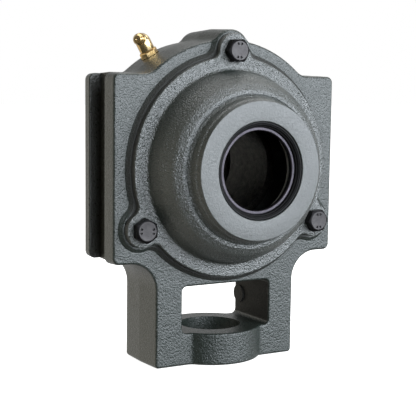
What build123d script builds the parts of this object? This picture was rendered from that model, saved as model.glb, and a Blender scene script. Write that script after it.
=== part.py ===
from build123d import *

import os
from math import atan2, cos, degrees, radians, sin, sqrt, tan

# Take up bearing unit: a cast housing that slides between two rails and is drawn along them
# by a screw in its tongue. A self-aligning insert bearing with a tapered bore sits in the
# spherical seat, behind an open cover with a shaft seal in front and a closed cover at the back.
# Millimetres. The origin is the centre of the bearing, +Z is up, away from the tongue,
# and the bearing's axis is Y, with the open cover towards -Y.

# Housing
RAIL_WIDTH = 117.6
RAIL_HEIGHT = 85.0
RAIL_OUTSET = 0.3
GROOVE_WIDTH = 16.0
GROOVE_DEPTH = 6.0
GROOVE_SETBACK = 1.6
GROOVE_EDGE_ROUND = 0.8
PLATE_HALF = 15.5
SEAT_WALL = 18.5
DRAFT_ANGLE = 2.5
RAIL_CORNER_ROUND = 3.6
RAIL_TOP_FILLET = 8.5
SHOULDER_FILLET = 12.5
CAST_EDGE_ROUND = 1.2
SEAT_RISE = 1.5
SEAT_SKIRT = 1.7
SEAT_MARGIN = 0.8
SEAT_EDGE_ROUND = 0.6
LOBE_MARGIN = 2.4
LOBE_BLEND = 5.0

# Tongue with the nut's window and the screw's boss
SHOULDER_WIDTH = 21.3
TONGUE_SIDE = 14.1
TONGUE_CORNER_ROUND = 1.6
WINDOW_HEIGHT = 21.7
WINDOW_TOP_CLEARANCE = 1.3
WINDOW_ROUND = 2.4
WINDOW_EDGE_ROUND = 1.0
BAR_HEIGHT = 14.9
SCREW_HOLE_RADIUS = 14.5
BOSS_SIDE_FILLET = 3.5
BOSS_FOOT_GAP = 1.0
NUB_RADIUS = 4.2
NUB_RISE = 1.0
NUB_ABOVE_BAR = 10.6
NUB_SETBACK = 4.9

# Covers and their bolts
FLANGE_THICKNESS = 3.0
FLANGE_LEDGE = 3.8
FLANGE_ROOT_OVERLAP = 2.0
BOLT_INSET = 5.8
BOLT_OUTSET = 2.4
BOLT_ANGLES = (90.0, 210.0, 330.0)
COVER_LOBE_RADIUS = 8.0
COVER_LOBE_BLEND = 4.0
COVER_EDGE_ROUND = 0.7
DOME_TAPER = 1.3
DOME_RISE = 12.4
DOME_FOOT_FILLET = 1.2
DOME_SHOULDER_ROUND = 6.5
DOME_DIP = 1.5
DOME_CROWN_WIDTH = 12.0
COVER_WALL = 3.4
HUB_TAPER = 2.2
HUB_FILLET = 2.4
HUB_RISE = 23.5
HUB_EDGE_ROUND = 0.5
SPIGOT_INSET = 2.5
SPIGOT_LENGTH = 2.2
SPIGOT_WALL = 2.8
SPIGOT_CLEARANCE = 0.05
RECESS_DEPTH = 2.5
GASKET_OUTSET = 2.4
GASKET_WIDTH = 2.0
GASKET_DEPTH = 1.4
GASKET_CLEARANCE = 0.05
BOLT_RADIUS = 3.0
BOLT_LENGTH = 14.0
BOLT_HEAD_HEIGHT = 4.0
BOLT_HEAD_FLATS = 10.0
BOLT_HEAD_FACE_RADIUS = 4.3
HEAD_CHAMFER_ANGLE = 30.0
BOLT_TURNS = (2.0, 31.0, 4.0)
BOLT_CLEARANCE = 0.05
BOLT_HOLE_SPARE = 3.0
COVER_HOLE_RADIUS = 3.3
SPOT_FACE_RADIUS = 6.3

# Shaft seal in the open cover
SEAL_WIDTH = 4.0
SEAL_POCKET_DEPTH = 7.5
SEAL_STOP_WIDTH = 2.1
SEAL_STOP_THICKNESS = 2.0
SEAL_RECESS = 0.5
SEAL_CLEARANCE = 0.05
SLEEVE_WALL = 2.3
LIP_DEPTH = 3.6
SEAL_LIP_LENGTH = 1.4
SEAL_RING_WIDTH = 1.5
SEAL_RING_THICKNESS = 1.0
SEAL_RING_ROUND = 0.4
SEAL_RIM_WIDTH = 0.8

# Insert bearing
SEAT_CLEARANCE = 0.08
OUTER_WIDTH = 21.0
INNER_WIDTH = 31.0
BORE_WALL = 5.0
BORE_TAPER = 1 / 12
PITCH_INSET = 10.0
BALL_RADIUS = 6.0
BALL_COUNT = 9
BALL_CLEARANCE = 0.03
RACE_SPARE = 0.2
INNER_LAND_INSET = 4.4
OUTER_LAND_OUTSET = 4.2
FLINGER_SEAT_STEP = 0.6
SEAL_GROOVE_DEPTH = 1.4
SEAL_GROOVE_WIDTH = 2.5
BEARING_SEAL_THICKNESS = 1.8
BEARING_SEAL_CLEARANCE = 0.05
BEARING_SEAL_LIP_GAP = 0.2
BEARING_SEAL_RIM = 0.8
FLINGER_EDGE_GAP = 0.5
FLINGER_THICKNESS = 0.8
FLINGER_COLLAR = 3.0
FLINGER_GAP = 0.4
RING_EDGE_ROUND = 0.6

# Cage
CAGE_HALF_WIDTH = 2.4
CAGE_SHEET = 0.8
POCKET_CLEARANCE = 0.15
RIVET_RADIUS = 0.7
RIVET_HEAD_RADIUS = 1.3
RIVET_HEAD_HEIGHT = 0.6
RIVET_CLEARANCE = 0.02

# Stop pin, which keeps the outer ring from turning in the housing
STOP_PIN_RADIUS = 2.0
STOP_PIN_CLEARANCE = 0.03
STOP_PIN_DEPTH = 2.6
STOP_PIN_RISE = 3.4
STOP_PIN_CHAMFER = 0.4
NOTCH_CLEARANCE = 0.3
SLOT_CLEARANCE = 0.1
SLOT_SPARE = 1.6

# Grease way and its nipple
NIPPLE_ANGLE = 30.0
NIPPLE_PLACE = 7.5
NIPPLE_THREAD_RADIUS = 3.0
NIPPLE_THREAD_LENGTH = 6.5
NIPPLE_THREAD_CLEARANCE = 0.05
NIPPLE_HOLE_SPARE = 1.0
NIPPLE_SEAT_RADIUS = 4.7
NIPPLE_SEAT_SINK = 0.8
NIPPLE_HEX_FLATS = 7.6
NIPPLE_HEX_HEIGHT = 3.0
NIPPLE_STEM_RADIUS = 3.5
NIPPLE_STEM_LENGTH = 5.9
NIPPLE_BEND = 73.0
NIPPLE_TURN = 46.0
NOZZLE_LENGTH = 6.2
NOZZLE_NECK_RADIUS = 2.3
NOZZLE_HEAD_RADIUS = 3.2
NOZZLE_HEAD_LENGTH = 2.4
NOZZLE_FACE_RADIUS = 1.9
NOZZLE_FACE_HOLE = 0.8
NOZZLE_WALL = 0.8
NOZZLE_BORE_RADIUS = 1.2
NOZZLE_BORE_START = 0.4
STEM_BORE_RADIUS = 0.9
CHECK_BALL_RADIUS = 1.1
CHECK_BALL_CLEARANCE = 0.02
SPRING_WIRE_RADIUS = 0.14
SPRING_TURNS = 4
SPRING_CLEARANCE = 0.15
NIPPLE_SEAT_REACH = 4.0
GREASE_HOLE_RADIUS = 1.2
GREASE_GROOVE_PLACE = 6.6
GREASE_GROOVE_WIDTH = 4.6
GREASE_GROOVE_DEPTH = 1.2
GREASE_GROOVE_OVERLAP = 3.0
RING_HOLE_RADIUS = 0.8
RING_HOLE_PLACE = 5.9

# Which way a block or cylinder reaches from the point it is placed at
ABOVE = (Align.CENTER, Align.CENTER, Align.MIN)
BELOW = (Align.CENTER, Align.CENTER, Align.MAX)
IN_FRONT = (Align.CENTER, Align.MAX, Align.CENTER)
RIGHTWARD = (Align.MIN, Align.CENTER, Align.CENTER)
RIGHT_IN_FRONT = (Align.MIN, Align.MAX, Align.CENTER)
RIGHT_BEHIND = (Align.MIN, Align.MIN, Align.CENTER)

# Radii and widths, worked out from the rails inwards so that the pieces grow together
BODY_RADIUS = RAIL_WIDTH / 2 - RAIL_OUTSET
BOLT_CIRCLE_RADIUS = BODY_RADIUS - BOLT_INSET
FLANGE_RADIUS = BOLT_CIRCLE_RADIUS - BOLT_OUTSET
DOME_BASE_RADIUS = FLANGE_RADIUS - FLANGE_LEDGE
DOME_TOP_RADIUS = DOME_BASE_RADIUS - DOME_TAPER
HUB_BASE_RADIUS = DOME_TOP_RADIUS - DOME_CROWN_WIDTH
HUB_TOP_RADIUS = HUB_BASE_RADIUS - HUB_TAPER
SPIGOT_RADIUS = DOME_BASE_RADIUS - SPIGOT_INSET
GASKET_RADIUS = SPIGOT_RADIUS + GASKET_OUTSET
SPHERE_RADIUS = BODY_RADIUS - SEAT_WALL
PITCH_RADIUS = SPHERE_RADIUS - PITCH_INSET
RACE_RADIUS = BALL_RADIUS + RACE_SPARE
INNER_LAND_RADIUS = PITCH_RADIUS - INNER_LAND_INSET
OUTER_LAND_RADIUS = PITCH_RADIUS + OUTER_LAND_OUTSET
SEAL_GROOVE_RADIUS = OUTER_LAND_RADIUS + SEAL_GROOVE_DEPTH
FLINGER_RADIUS = SEAL_GROOVE_RADIUS - FLINGER_EDGE_GAP
FLINGER_SEAT_RADIUS = INNER_LAND_RADIUS - FLINGER_SEAT_STEP
BORE_SMALL_RADIUS = FLINGER_SEAT_RADIUS - BORE_WALL
CAGE_INNER_RADIUS = PITCH_RADIUS - CAGE_HALF_WIDTH
CAGE_OUTER_RADIUS = PITCH_RADIUS + CAGE_HALF_WIDTH
LIP_RADIUS = BORE_SMALL_RADIUS - SLEEVE_WALL
SEAL_POCKET_RADIUS = LIP_RADIUS + SEAL_WIDTH
TONGUE_WIDTH = RAIL_WIDTH - 2 * SHOULDER_WIDTH
WINDOW_WIDTH = TONGUE_WIDTH - 2 * TONGUE_SIDE
BOSS_FOOT_REACH = WINDOW_WIDTH / 2 - WINDOW_ROUND - BOSS_FOOT_GAP
SCREW_BOSS_RADIUS = sqrt((PLATE_HALF + BOSS_SIDE_FILLET) ** 2 + BOSS_FOOT_REACH**2) - BOSS_SIDE_FILLET

# Levels below the bearing's centre, and distances in front of it
SEAT_FOOT_RADIUS = FLANGE_RADIUS + SEAT_MARGIN + SEAT_SKIRT
WINDOW_TOP = -(SEAT_FOOT_RADIUS + WINDOW_TOP_CLEARANCE)
BAR_TOP = WINDOW_TOP - WINDOW_HEIGHT
TONGUE_BOTTOM = BAR_TOP - BAR_HEIGHT
SEAT_HALF = PLATE_HALF + SEAT_RISE
FLANGE_FACE = SEAT_HALF + FLANGE_THICKNESS
HUB_FACE = FLANGE_FACE + HUB_RISE
SEAL_FLOOR = HUB_FACE - SEAL_POCKET_DEPTH
RECESS_FLOOR = SEAT_HALF - RECESS_DEPTH
DOME_TOP = FLANGE_FACE + DOME_RISE
OUTER_HALF = OUTER_WIDTH / 2
INNER_HALF = INNER_WIDTH / 2
SEAT_RADIUS = SPHERE_RADIUS + SEAT_CLEARANCE
INNER_TRACK_RADIUS = PITCH_RADIUS - BALL_RADIUS - BALL_CLEARANCE
OUTER_TRACK_RADIUS = PITCH_RADIUS + BALL_RADIUS + BALL_CLEARANCE
SEAL_GROOVE_FLOOR = OUTER_HALF - SEAL_GROOVE_WIDTH
BEARING_SEAL_FACE = SEAL_GROOVE_FLOOR + BEARING_SEAL_CLEARANCE + BEARING_SEAL_THICKNESS
FLINGER_FACE = BEARING_SEAL_FACE + FLINGER_GAP
BOLT_HOLE_DEPTH = BOLT_LENGTH - FLANGE_THICKNESS + BOLT_HOLE_SPARE
NIPPLE_SEAT_LEVEL = BODY_RADIUS - NIPPLE_SEAT_SINK
NIPPLE_OUTWARD = Vector(-sin(radians(NIPPLE_ANGLE)), 0, cos(radians(NIPPLE_ANGLE)))
NIPPLE_LEFTWARD = Vector(-cos(radians(NIPPLE_ANGLE)), 0, -sin(radians(NIPPLE_ANGLE)))


def front_plane(outward):
    """A plane across the bearing's axis, this far in front of the centre, facing forwards."""
    return Plane.XZ.offset(outward)


def at_back(piece):
    """Turns a front piece half round the vertical, onto the back of the housing."""
    return Rot(0, 0, 180) * piece


def on_both_sides(piece):
    """A front piece together with the same one at the back."""
    return piece + at_back(piece)


def turned(outline):
    """Turns an outline of radius along X and place along Y about the bearing's axis."""
    return revolve(outline, Axis.Y, 360)


def closed(points):
    """A closed outline through (radius, distance in front of the centre)."""
    return make_face(Polyline(*[(radius, -outward) for radius, outward in points], close=True))


def rounded(outline, rounds):
    """Rounds corners of an outline: each is (radius, distance in front) with its own rounding."""
    for radius, outward, size in rounds:
        corner = outline.vertices().sort_by_distance((radius, -outward, 0))[0]
        outline = fillet(corner, size)
    return outline


def bolt_centres():
    """The three bolt centres, seen along the bearing's axis."""
    turns = [radians(angle) for angle in BOLT_ANGLES]
    return [Vector(BOLT_CIRCLE_RADIUS * cos(turn), BOLT_CIRCLE_RADIUS * sin(turn)) for turn in turns]


def lobed_outline(round_radius, lobe_radius, blend):
    """A disc with three bolt lobes on it, blended where the lobes leave the disc."""
    outline = Circle(round_radius)
    centres = bolt_centres()
    for centre in centres:
        outline += Pos(centre) * Circle(lobe_radius)
    corners = [
        v
        for v in outline.vertices()
        if any(abs((Vector(v) - centre).length - lobe_radius) < 0.01 for centre in centres)
        and abs(Vector(v).length - round_radius) < 0.01
    ]
    return fillet(corners, blend)


def housing_outline():
    """The casting seen along the bearing's axis: round body, rails, tongue and the top lobe."""
    top = RAIL_HEIGHT / 2
    rail_half = RAIL_WIDTH / 2
    tongue_half = TONGUE_WIDTH / 2
    upper_half = Pos(0, BODY_RADIUS / 2) * Rectangle(RAIL_WIDTH, BODY_RADIUS)
    outline = (Circle(BODY_RADIUS) & upper_half) + Rectangle(RAIL_WIDTH, RAIL_HEIGHT)
    below = TONGUE_BOTTOM - TONGUE_CORNER_ROUND
    outline += Pos(0, below / 2) * Rectangle(TONGUE_WIDTH, -below)
    rail_corners = [v for v in outline.vertices() if abs(abs(v.X) - rail_half) < 0.01]
    outline = fillet(rail_corners, RAIL_CORNER_ROUND)
    body_foot = sqrt(BODY_RADIUS**2 - top**2)
    body_corners = [v for v in outline.vertices() if abs(abs(v.X) - body_foot) < 0.01 and v.Y > 0]
    outline = fillet(body_corners, RAIL_TOP_FILLET)
    shoulders = [v for v in outline.vertices() if abs(abs(v.X) - tongue_half) < 0.01 and v.Y > BAR_TOP]
    outline = fillet(shoulders, SHOULDER_FILLET)
    lobe_radius = COVER_LOBE_RADIUS + LOBE_MARGIN
    outline += Pos(0, BOLT_CIRCLE_RADIUS) * Circle(lobe_radius)
    lobe_corners = [v for v in outline.vertices() if abs(v.X) < lobe_radius + 0.01 and v.Y > BODY_RADIUS / 2]
    return fillet(lobe_corners, LOBE_BLEND)


def drafted(outline, half, edge_round, boss):
    """A casting of this outline, drafted both ways from its middle, with rounded outer edges."""
    front = Plane.XZ * extrude(outline, half, taper=DRAFT_ANGLE)
    below = Pos(0, 0, TONGUE_BOTTOM) * Box(2 * RAIL_WIDTH, 4 * half, 2 * RAIL_WIDTH, align=BELOW)
    block = on_both_sides(front) - below
    foot = [edge for edge in block.edges() if abs((edge @ 0.5).Z - TONGUE_BOTTOM) < 0.01]
    foot_corners = [edge for edge in foot if abs((edge @ 0.5).X) > WINDOW_WIDTH / 2]
    block = fillet(foot_corners, TONGUE_CORNER_ROUND) + boss
    boss_foot = SCREW_BOSS_RADIUS + BOSS_SIDE_FILLET
    rim = [edge for edge in block.edges() if abs(abs((edge @ 0.5).Y) - half) < 0.01]
    rim = [edge for edge in rim if abs((edge @ 0.5).X) > boss_foot or (edge @ 0.5).Z > 0]
    return fillet(rim, edge_round)


def seat_boss():
    """The raised ring and lobes under the front cover, with a sloping foot on the plate."""
    foot_lobe = COVER_LOBE_RADIUS + SEAT_MARGIN + SEAT_SKIRT
    outline = lobed_outline(SEAT_FOOT_RADIUS, foot_lobe, LOBE_BLEND)
    slope = degrees(atan2(SEAT_SKIRT, SEAT_RISE))
    raised = front_plane(PLATE_HALF) * extrude(outline, SEAT_RISE, taper=slope)
    root = front_plane(0) * extrude(outline, PLATE_HALF)
    return raised + root


def screw_boss():
    """The upright round boss about the take up screw's hole, as tall as the bar of the tongue."""
    half_chord = sqrt(SCREW_BOSS_RADIUS**2 - PLATE_HALF**2)
    plan = Circle(SCREW_BOSS_RADIUS) + Rectangle(2 * (SCREW_BOSS_RADIUS + BOSS_SIDE_FILLET), 2 * PLATE_HALF)
    corners = [v for v in plan.vertices() if abs(abs(v.X) - half_chord) < 0.01]
    plan = fillet(corners, BOSS_SIDE_FILLET)
    return Pos(0, 0, TONGUE_BOTTOM) * extrude(plan, BAR_HEIGHT)


def nipple_frame(level):
    """Where the nipple stands: its Z leads out of the housing, from this far off the axis."""
    return Plane(
        origin=NIPPLE_OUTWARD * level + Vector(0, NIPPLE_PLACE, 0),
        x_dir=NIPPLE_LEFTWARD,
        z_dir=NIPPLE_OUTWARD,
    )


def grease_way():
    """The nipple's flat seat, its threaded hole and the drilling down to the grease groove."""
    seat = nipple_frame(NIPPLE_SEAT_LEVEL) * Cylinder(NIPPLE_SEAT_RADIUS, NIPPLE_SEAT_REACH, align=ABOVE)
    thread_depth = NIPPLE_THREAD_LENGTH + NIPPLE_HOLE_SPARE
    thread = nipple_frame(NIPPLE_SEAT_LEVEL) * Cylinder(NIPPLE_THREAD_RADIUS, thread_depth, align=BELOW)
    drilling_depth = NIPPLE_SEAT_LEVEL - SPHERE_RADIUS + GREASE_GROOVE_DEPTH
    drilling = nipple_frame(NIPPLE_SEAT_LEVEL) * Cylinder(GREASE_HOLE_RADIUS, drilling_depth, align=BELOW)
    inner, floor = SPHERE_RADIUS - GREASE_GROOVE_OVERLAP, SPHERE_RADIUS + GREASE_GROOVE_DEPTH
    near, far = (-GREASE_GROOVE_PLACE + side * GREASE_GROOVE_WIDTH / 2 for side in (1, -1))
    groove = closed([(inner, near), (floor, near), (floor, far), (inner, far)])
    return seat + thread + drilling + turned(groove)


def bearing_seat():
    """The spherical seat, the notches that let the bearing in and the slot for its stop pin."""
    notch_reach = 2 * (SEAT_RADIUS + NOTCH_CLEARANCE)
    notch_height = OUTER_WIDTH + 2 * NOTCH_CLEARANCE
    notches = Box(notch_reach, SEAT_HALF, notch_height, align=IN_FRONT)
    slot_reach = SPHERE_RADIUS + STOP_PIN_RISE + NOTCH_CLEARANCE
    slot_height = 2 * (STOP_PIN_RADIUS + SLOT_CLEARANCE)
    slot = Box(slot_reach, SEAT_HALF, slot_height, align=RIGHT_IN_FRONT)
    slot_end = STOP_PIN_RADIUS + SLOT_SPARE
    slot += Box(slot_reach, slot_end, slot_height, align=RIGHT_BEHIND)
    return Sphere(SEAT_RADIUS) + notches + slot


def front_holes():
    """The recess for the front cover's spigot and the three threaded holes for its bolts."""
    recess = front_plane(RECESS_FLOOR) * Cylinder(SPIGOT_RADIUS, RECESS_DEPTH, align=ABOVE)
    hole = Cylinder(BOLT_RADIUS, BOLT_HOLE_DEPTH, align=BELOW)
    for centre in bolt_centres():
        recess += front_plane(SEAT_HALF) * (Pos(centre) * hole)
    return recess


def guide_grooves():
    """The two grooves that the take up frame's rails run in, a little behind the middle."""
    floor = Pos(RAIL_WIDTH / 2 - GROOVE_DEPTH, GROOVE_SETBACK, 0)
    right = floor * Box(2 * GROOVE_DEPTH, GROOVE_WIDTH, 2 * RAIL_HEIGHT, align=RIGHTWARD)
    return right + mirror(right, about=Plane.YZ)


def window():
    """The opening in the tongue that the take up screw's nut sits in."""
    outline = RectangleRounded(WINDOW_WIDTH, WINDOW_HEIGHT, WINDOW_ROUND)
    middle = BAR_TOP + WINDOW_HEIGHT / 2
    return front_plane(0) * (Pos(0, middle) * extrude(outline, 2 * PLATE_HALF, both=True))


def housing():
    """The casting: body, rails with their grooves, tongue, spherical seat and drilled holes."""
    outline = housing_outline()
    casting = drafted(outline, PLATE_HALF, CAST_EDGE_ROUND, screw_boss())
    tall = drafted(outline, SEAT_HALF, SEAT_EDGE_ROUND, Part())
    casting += on_both_sides(seat_boss()) & tall
    casting -= window()
    window_rim = [
        edge
        for edge in casting.edges()
        if abs((edge @ 0.5).Y) > PLATE_HALF - 0.01
        and abs((edge @ 0.5).X) < WINDOW_WIDTH / 2 + 0.01
        and BAR_TOP - 0.01 < (edge @ 0.5).Z < WINDOW_TOP + 0.01
    ]
    casting = fillet(window_rim, WINDOW_EDGE_ROUND)
    nub = Pos(WINDOW_WIDTH / 2, PLATE_HALF - NUB_SETBACK, BAR_TOP + NUB_ABOVE_BAR) * Rot(0, 90, 0)
    casting += nub * Cylinder(NUB_RADIUS, 2 * NUB_RISE)
    casting -= Pos(0, 0, TONGUE_BOTTOM) * Cylinder(SCREW_HOLE_RADIUS, 2 * BAR_HEIGHT)
    casting -= guide_grooves()
    groove_floor = RAIL_WIDTH / 2 - GROOVE_DEPTH
    lips = [
        edge
        for edge in casting.edges().filter_by(Axis.Z)
        if abs(abs((edge @ 0.5).Y - GROOVE_SETBACK) - GROOVE_WIDTH / 2) < 0.01
        and abs((edge @ 0.5).X) > groove_floor + 0.01
    ]
    casting = fillet(lips, GROOVE_EDGE_ROUND)
    casting -= bearing_seat()
    casting -= on_both_sides(front_holes())
    return casting - grease_way()


def cover_section(hub_end):
    """Half of a cover's section, from the spigot over the dome to the hub and its inside."""
    spigot = SPIGOT_RADIUS - SPIGOT_CLEARANCE
    spigot_end = SEAT_HALF - SPIGOT_LENGTH
    inner_spigot = spigot - SPIGOT_WALL
    flange_root = DOME_BASE_RADIUS + FLANGE_ROOT_OVERLAP
    ceiling = DOME_TOP - DOME_DIP - COVER_WALL
    hub_wall = HUB_BASE_RADIUS - COVER_WALL
    outer = [
        (inner_spigot, spigot_end),
        (spigot, spigot_end),
        (spigot, SEAT_HALF),
        (flange_root, SEAT_HALF),
        (flange_root, FLANGE_FACE),
        (DOME_BASE_RADIUS, FLANGE_FACE),
        (DOME_TOP_RADIUS, DOME_TOP),
        (HUB_BASE_RADIUS, DOME_TOP - DOME_DIP),
        (HUB_TOP_RADIUS, HUB_FACE),
    ]
    inner = [(hub_wall, hub_end), (hub_wall, ceiling), (DOME_TOP_RADIUS - COVER_WALL, ceiling)]
    return outer, inner


def cover_blank(section, rounds):
    """A cover without its own hub opening: lobed flange, turned dome and hub, holes, groove."""
    lobes = lobed_outline(FLANGE_RADIUS, COVER_LOBE_RADIUS, COVER_LOBE_BLEND)
    flange = front_plane(SEAT_HALF) * extrude(lobes, FLANGE_THICKNESS)
    rim = flange.edges().filter_by_position(Axis.Y, -FLANGE_FACE - 0.01, -FLANGE_FACE + 0.01)
    flange = fillet(rim, COVER_EDGE_ROUND)
    flange -= front_plane(0) * Cylinder(DOME_BASE_RADIUS, 2 * HUB_FACE)
    cover = flange + turned(rounded(closed(section), rounds))
    hole = Cylinder(COVER_HOLE_RADIUS, 4 * FLANGE_THICKNESS)
    spot_face = Cylinder(SPOT_FACE_RADIUS, DOME_RISE, align=ABOVE)
    for centre in bolt_centres():
        cover -= front_plane(FLANGE_FACE) * (Pos(centre) * (hole + spot_face))
    return cover - turned(gasket_section(0))


def gasket_section(clearance):
    """The gasket's section, or its groove's where there is no clearance."""
    inner = GASKET_RADIUS - GASKET_WIDTH / 2 + clearance
    outer = GASKET_RADIUS + GASKET_WIDTH / 2 - clearance
    top = SEAT_HALF + GASKET_DEPTH - clearance
    return closed([(inner, SEAT_HALF), (outer, SEAT_HALF), (outer, top), (inner, top)])


def gasket():
    """The rubber ring pressed between a cover's flange and the housing."""
    return turned(gasket_section(GASKET_CLEARANCE))


def cover_rounds():
    """The rounded corners that both covers share, as (radius, distance in front, rounding)."""
    ceiling = DOME_TOP - DOME_DIP - COVER_WALL
    return [
        (DOME_BASE_RADIUS, FLANGE_FACE, DOME_FOOT_FILLET),
        (DOME_TOP_RADIUS, DOME_TOP, DOME_SHOULDER_ROUND),
        (HUB_BASE_RADIUS, DOME_TOP - DOME_DIP, HUB_FILLET),
        (HUB_TOP_RADIUS, HUB_FACE, HUB_EDGE_ROUND),
        (DOME_TOP_RADIUS - COVER_WALL, ceiling, DOME_SHOULDER_ROUND - COVER_WALL),
        (HUB_BASE_RADIUS - COVER_WALL, ceiling, HUB_FILLET),
    ]


def open_cover():
    """The front cover, whose hub holds the shaft seal in a pocket with a stop behind it."""
    hub_end = SEAL_FLOOR - SEAL_STOP_THICKNESS
    stop = SEAL_POCKET_RADIUS - SEAL_STOP_WIDTH
    outer, inner = cover_section(hub_end)
    pocket = [
        (SEAL_POCKET_RADIUS, HUB_FACE),
        (SEAL_POCKET_RADIUS, SEAL_FLOOR),
        (stop, SEAL_FLOOR),
        (stop, hub_end),
    ]
    rounds = cover_rounds() + [(SEAL_POCKET_RADIUS, HUB_FACE, HUB_EDGE_ROUND)]
    return cover_blank(outer + pocket + inner, rounds)


def closed_cover():
    """The back cover, the same casting with its hub closed over the shaft's end."""
    hub_end = HUB_FACE - COVER_WALL
    outer, inner = cover_section(hub_end)
    section = outer + [(0, HUB_FACE), (0, hub_end)] + inner
    return at_back(cover_blank(section, cover_rounds()))


def shaft_seal():
    """The rubber seal in the open cover's hub, with its lip to the shaft."""
    outer = SEAL_POCKET_RADIUS - SEAL_CLEARANCE
    back = SEAL_FLOOR + SEAL_CLEARANCE
    face = HUB_FACE - SEAL_RECESS
    ring_top, ring_outer = seal_ring_place()
    ledge = ring_top - SEAL_RING_THICKNESS
    return turned(
        closed(
            [
                (outer, back),
                (outer, face),
                (outer - SEAL_RIM_WIDTH, face),
                (ring_outer, ring_top),
                (ring_outer, ledge),
                (LIP_RADIUS, ledge),
                (LIP_RADIUS, ledge - SEAL_LIP_LENGTH),
                (ring_outer, back),
            ]
        )
    )


def seal_ring_place():
    """How far in front the seal's stiffening ring reaches, and its outer radius."""
    return HUB_FACE - LIP_DEPTH + SEAL_RING_THICKNESS, LIP_RADIUS + SEAL_RING_WIDTH


def seal_ring():
    """The bright steel ring that stiffens the shaft seal's lip."""
    ring_top, ring_outer = seal_ring_place()
    back = ring_top - SEAL_RING_THICKNESS
    inner = LIP_RADIUS + SEAL_CLEARANCE
    section = closed([(inner, back), (ring_outer, back), (ring_outer, ring_top), (inner, ring_top)])
    corners = [(inner, ring_top, SEAL_RING_ROUND), (ring_outer, ring_top, SEAL_RING_ROUND)]
    return turned(rounded(section, corners))


def cover_bolt(centre, turn):
    """A hexagon bolt seated on the front cover, with its shank in the housing's hole."""
    hexagon = RegularPolygon(BOLT_HEAD_FLATS / 2, 6, major_radius=False, rotation=turn)
    corner = BOLT_HEAD_FLATS / sqrt(3)
    drop = (corner - BOLT_HEAD_FACE_RADIUS) * tan(radians(HEAD_CHAMFER_ANGLE))
    chamfer = Polyline(
        (0, 0),
        (corner, 0),
        (corner, BOLT_HEAD_HEIGHT - drop),
        (BOLT_HEAD_FACE_RADIUS, BOLT_HEAD_HEIGHT),
        (0, BOLT_HEAD_HEIGHT),
        close=True,
    )
    head = extrude(hexagon, BOLT_HEAD_HEIGHT) & revolve(Plane.XZ * make_face(chamfer), Axis.Z, 360)
    shank = Cylinder(BOLT_RADIUS - BOLT_CLEARANCE, BOLT_LENGTH, align=BELOW)
    return front_plane(FLANGE_FACE) * (Pos(centre) * (head + shank))


def outer_ring():
    """The bearing's outer ring: spherical outside, ball track, seal grooves, grease hole."""
    edge = sqrt(SPHERE_RADIUS**2 - OUTER_HALF**2)
    track_centre = OUTER_TRACK_RADIUS - RACE_RADIUS
    track_half = sqrt(RACE_RADIUS**2 - (OUTER_LAND_RADIUS - track_centre) ** 2)
    outside = ThreePointArc((edge, -OUTER_HALF), (SPHERE_RADIUS, 0), (edge, OUTER_HALF))
    track = ThreePointArc(
        (OUTER_LAND_RADIUS, -track_half), (OUTER_TRACK_RADIUS, 0), (OUTER_LAND_RADIUS, track_half)
    )
    front = [
        (edge, -OUTER_HALF),
        (SEAL_GROOVE_RADIUS, -OUTER_HALF),
        (SEAL_GROOVE_RADIUS, -SEAL_GROOVE_FLOOR),
        (OUTER_LAND_RADIUS, -SEAL_GROOVE_FLOOR),
        (OUTER_LAND_RADIUS, -track_half),
    ]
    back = [(radius, -place) for radius, place in front]
    section = make_face([outside, track, Polyline(*front), Polyline(*back)])
    ends = [(edge, side * OUTER_HALF, RING_EDGE_ROUND) for side in (-1, 1)]
    body = turned(rounded(section, ends))
    grease_hole = Pos(0, RING_HOLE_PLACE, 0) * Cylinder(RING_HOLE_RADIUS, 2 * SPHERE_RADIUS, align=ABOVE)
    pin_hole = Pos(SPHERE_RADIUS - STOP_PIN_DEPTH, 0, 0) * Rot(0, 90, 0)
    pin_hole = pin_hole * Cylinder(STOP_PIN_RADIUS + STOP_PIN_CLEARANCE, SPHERE_RADIUS, align=ABOVE)
    return body - grease_hole - pin_hole


def inner_ring():
    """The inner ring, with a bore that tapers from the front end to the back end."""
    track_centre = INNER_TRACK_RADIUS + RACE_RADIUS
    track_half = sqrt(RACE_RADIUS**2 - (track_centre - INNER_LAND_RADIUS) ** 2)
    bore_large = BORE_SMALL_RADIUS + INNER_WIDTH * BORE_TAPER / 2
    track = ThreePointArc(
        (INNER_LAND_RADIUS, -track_half), (INNER_TRACK_RADIUS, 0), (INNER_LAND_RADIUS, track_half)
    )
    front = [
        (INNER_LAND_RADIUS, -track_half),
        (INNER_LAND_RADIUS, -FLINGER_FACE),
        (FLINGER_SEAT_RADIUS, -FLINGER_FACE),
        (FLINGER_SEAT_RADIUS, -INNER_HALF),
    ]
    back = [(radius, -place) for radius, place in front]
    bore = [(FLINGER_SEAT_RADIUS, -INNER_HALF), (bore_large, -INNER_HALF)]
    bore += [(BORE_SMALL_RADIUS, INNER_HALF), (FLINGER_SEAT_RADIUS, INNER_HALF)]
    section = make_face([track, Polyline(*front), Polyline(*back), Polyline(*bore)])
    ends = [(FLINGER_SEAT_RADIUS, side * INNER_HALF, RING_EDGE_ROUND) for side in (-1, 1)]
    return turned(rounded(section, ends))


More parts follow.
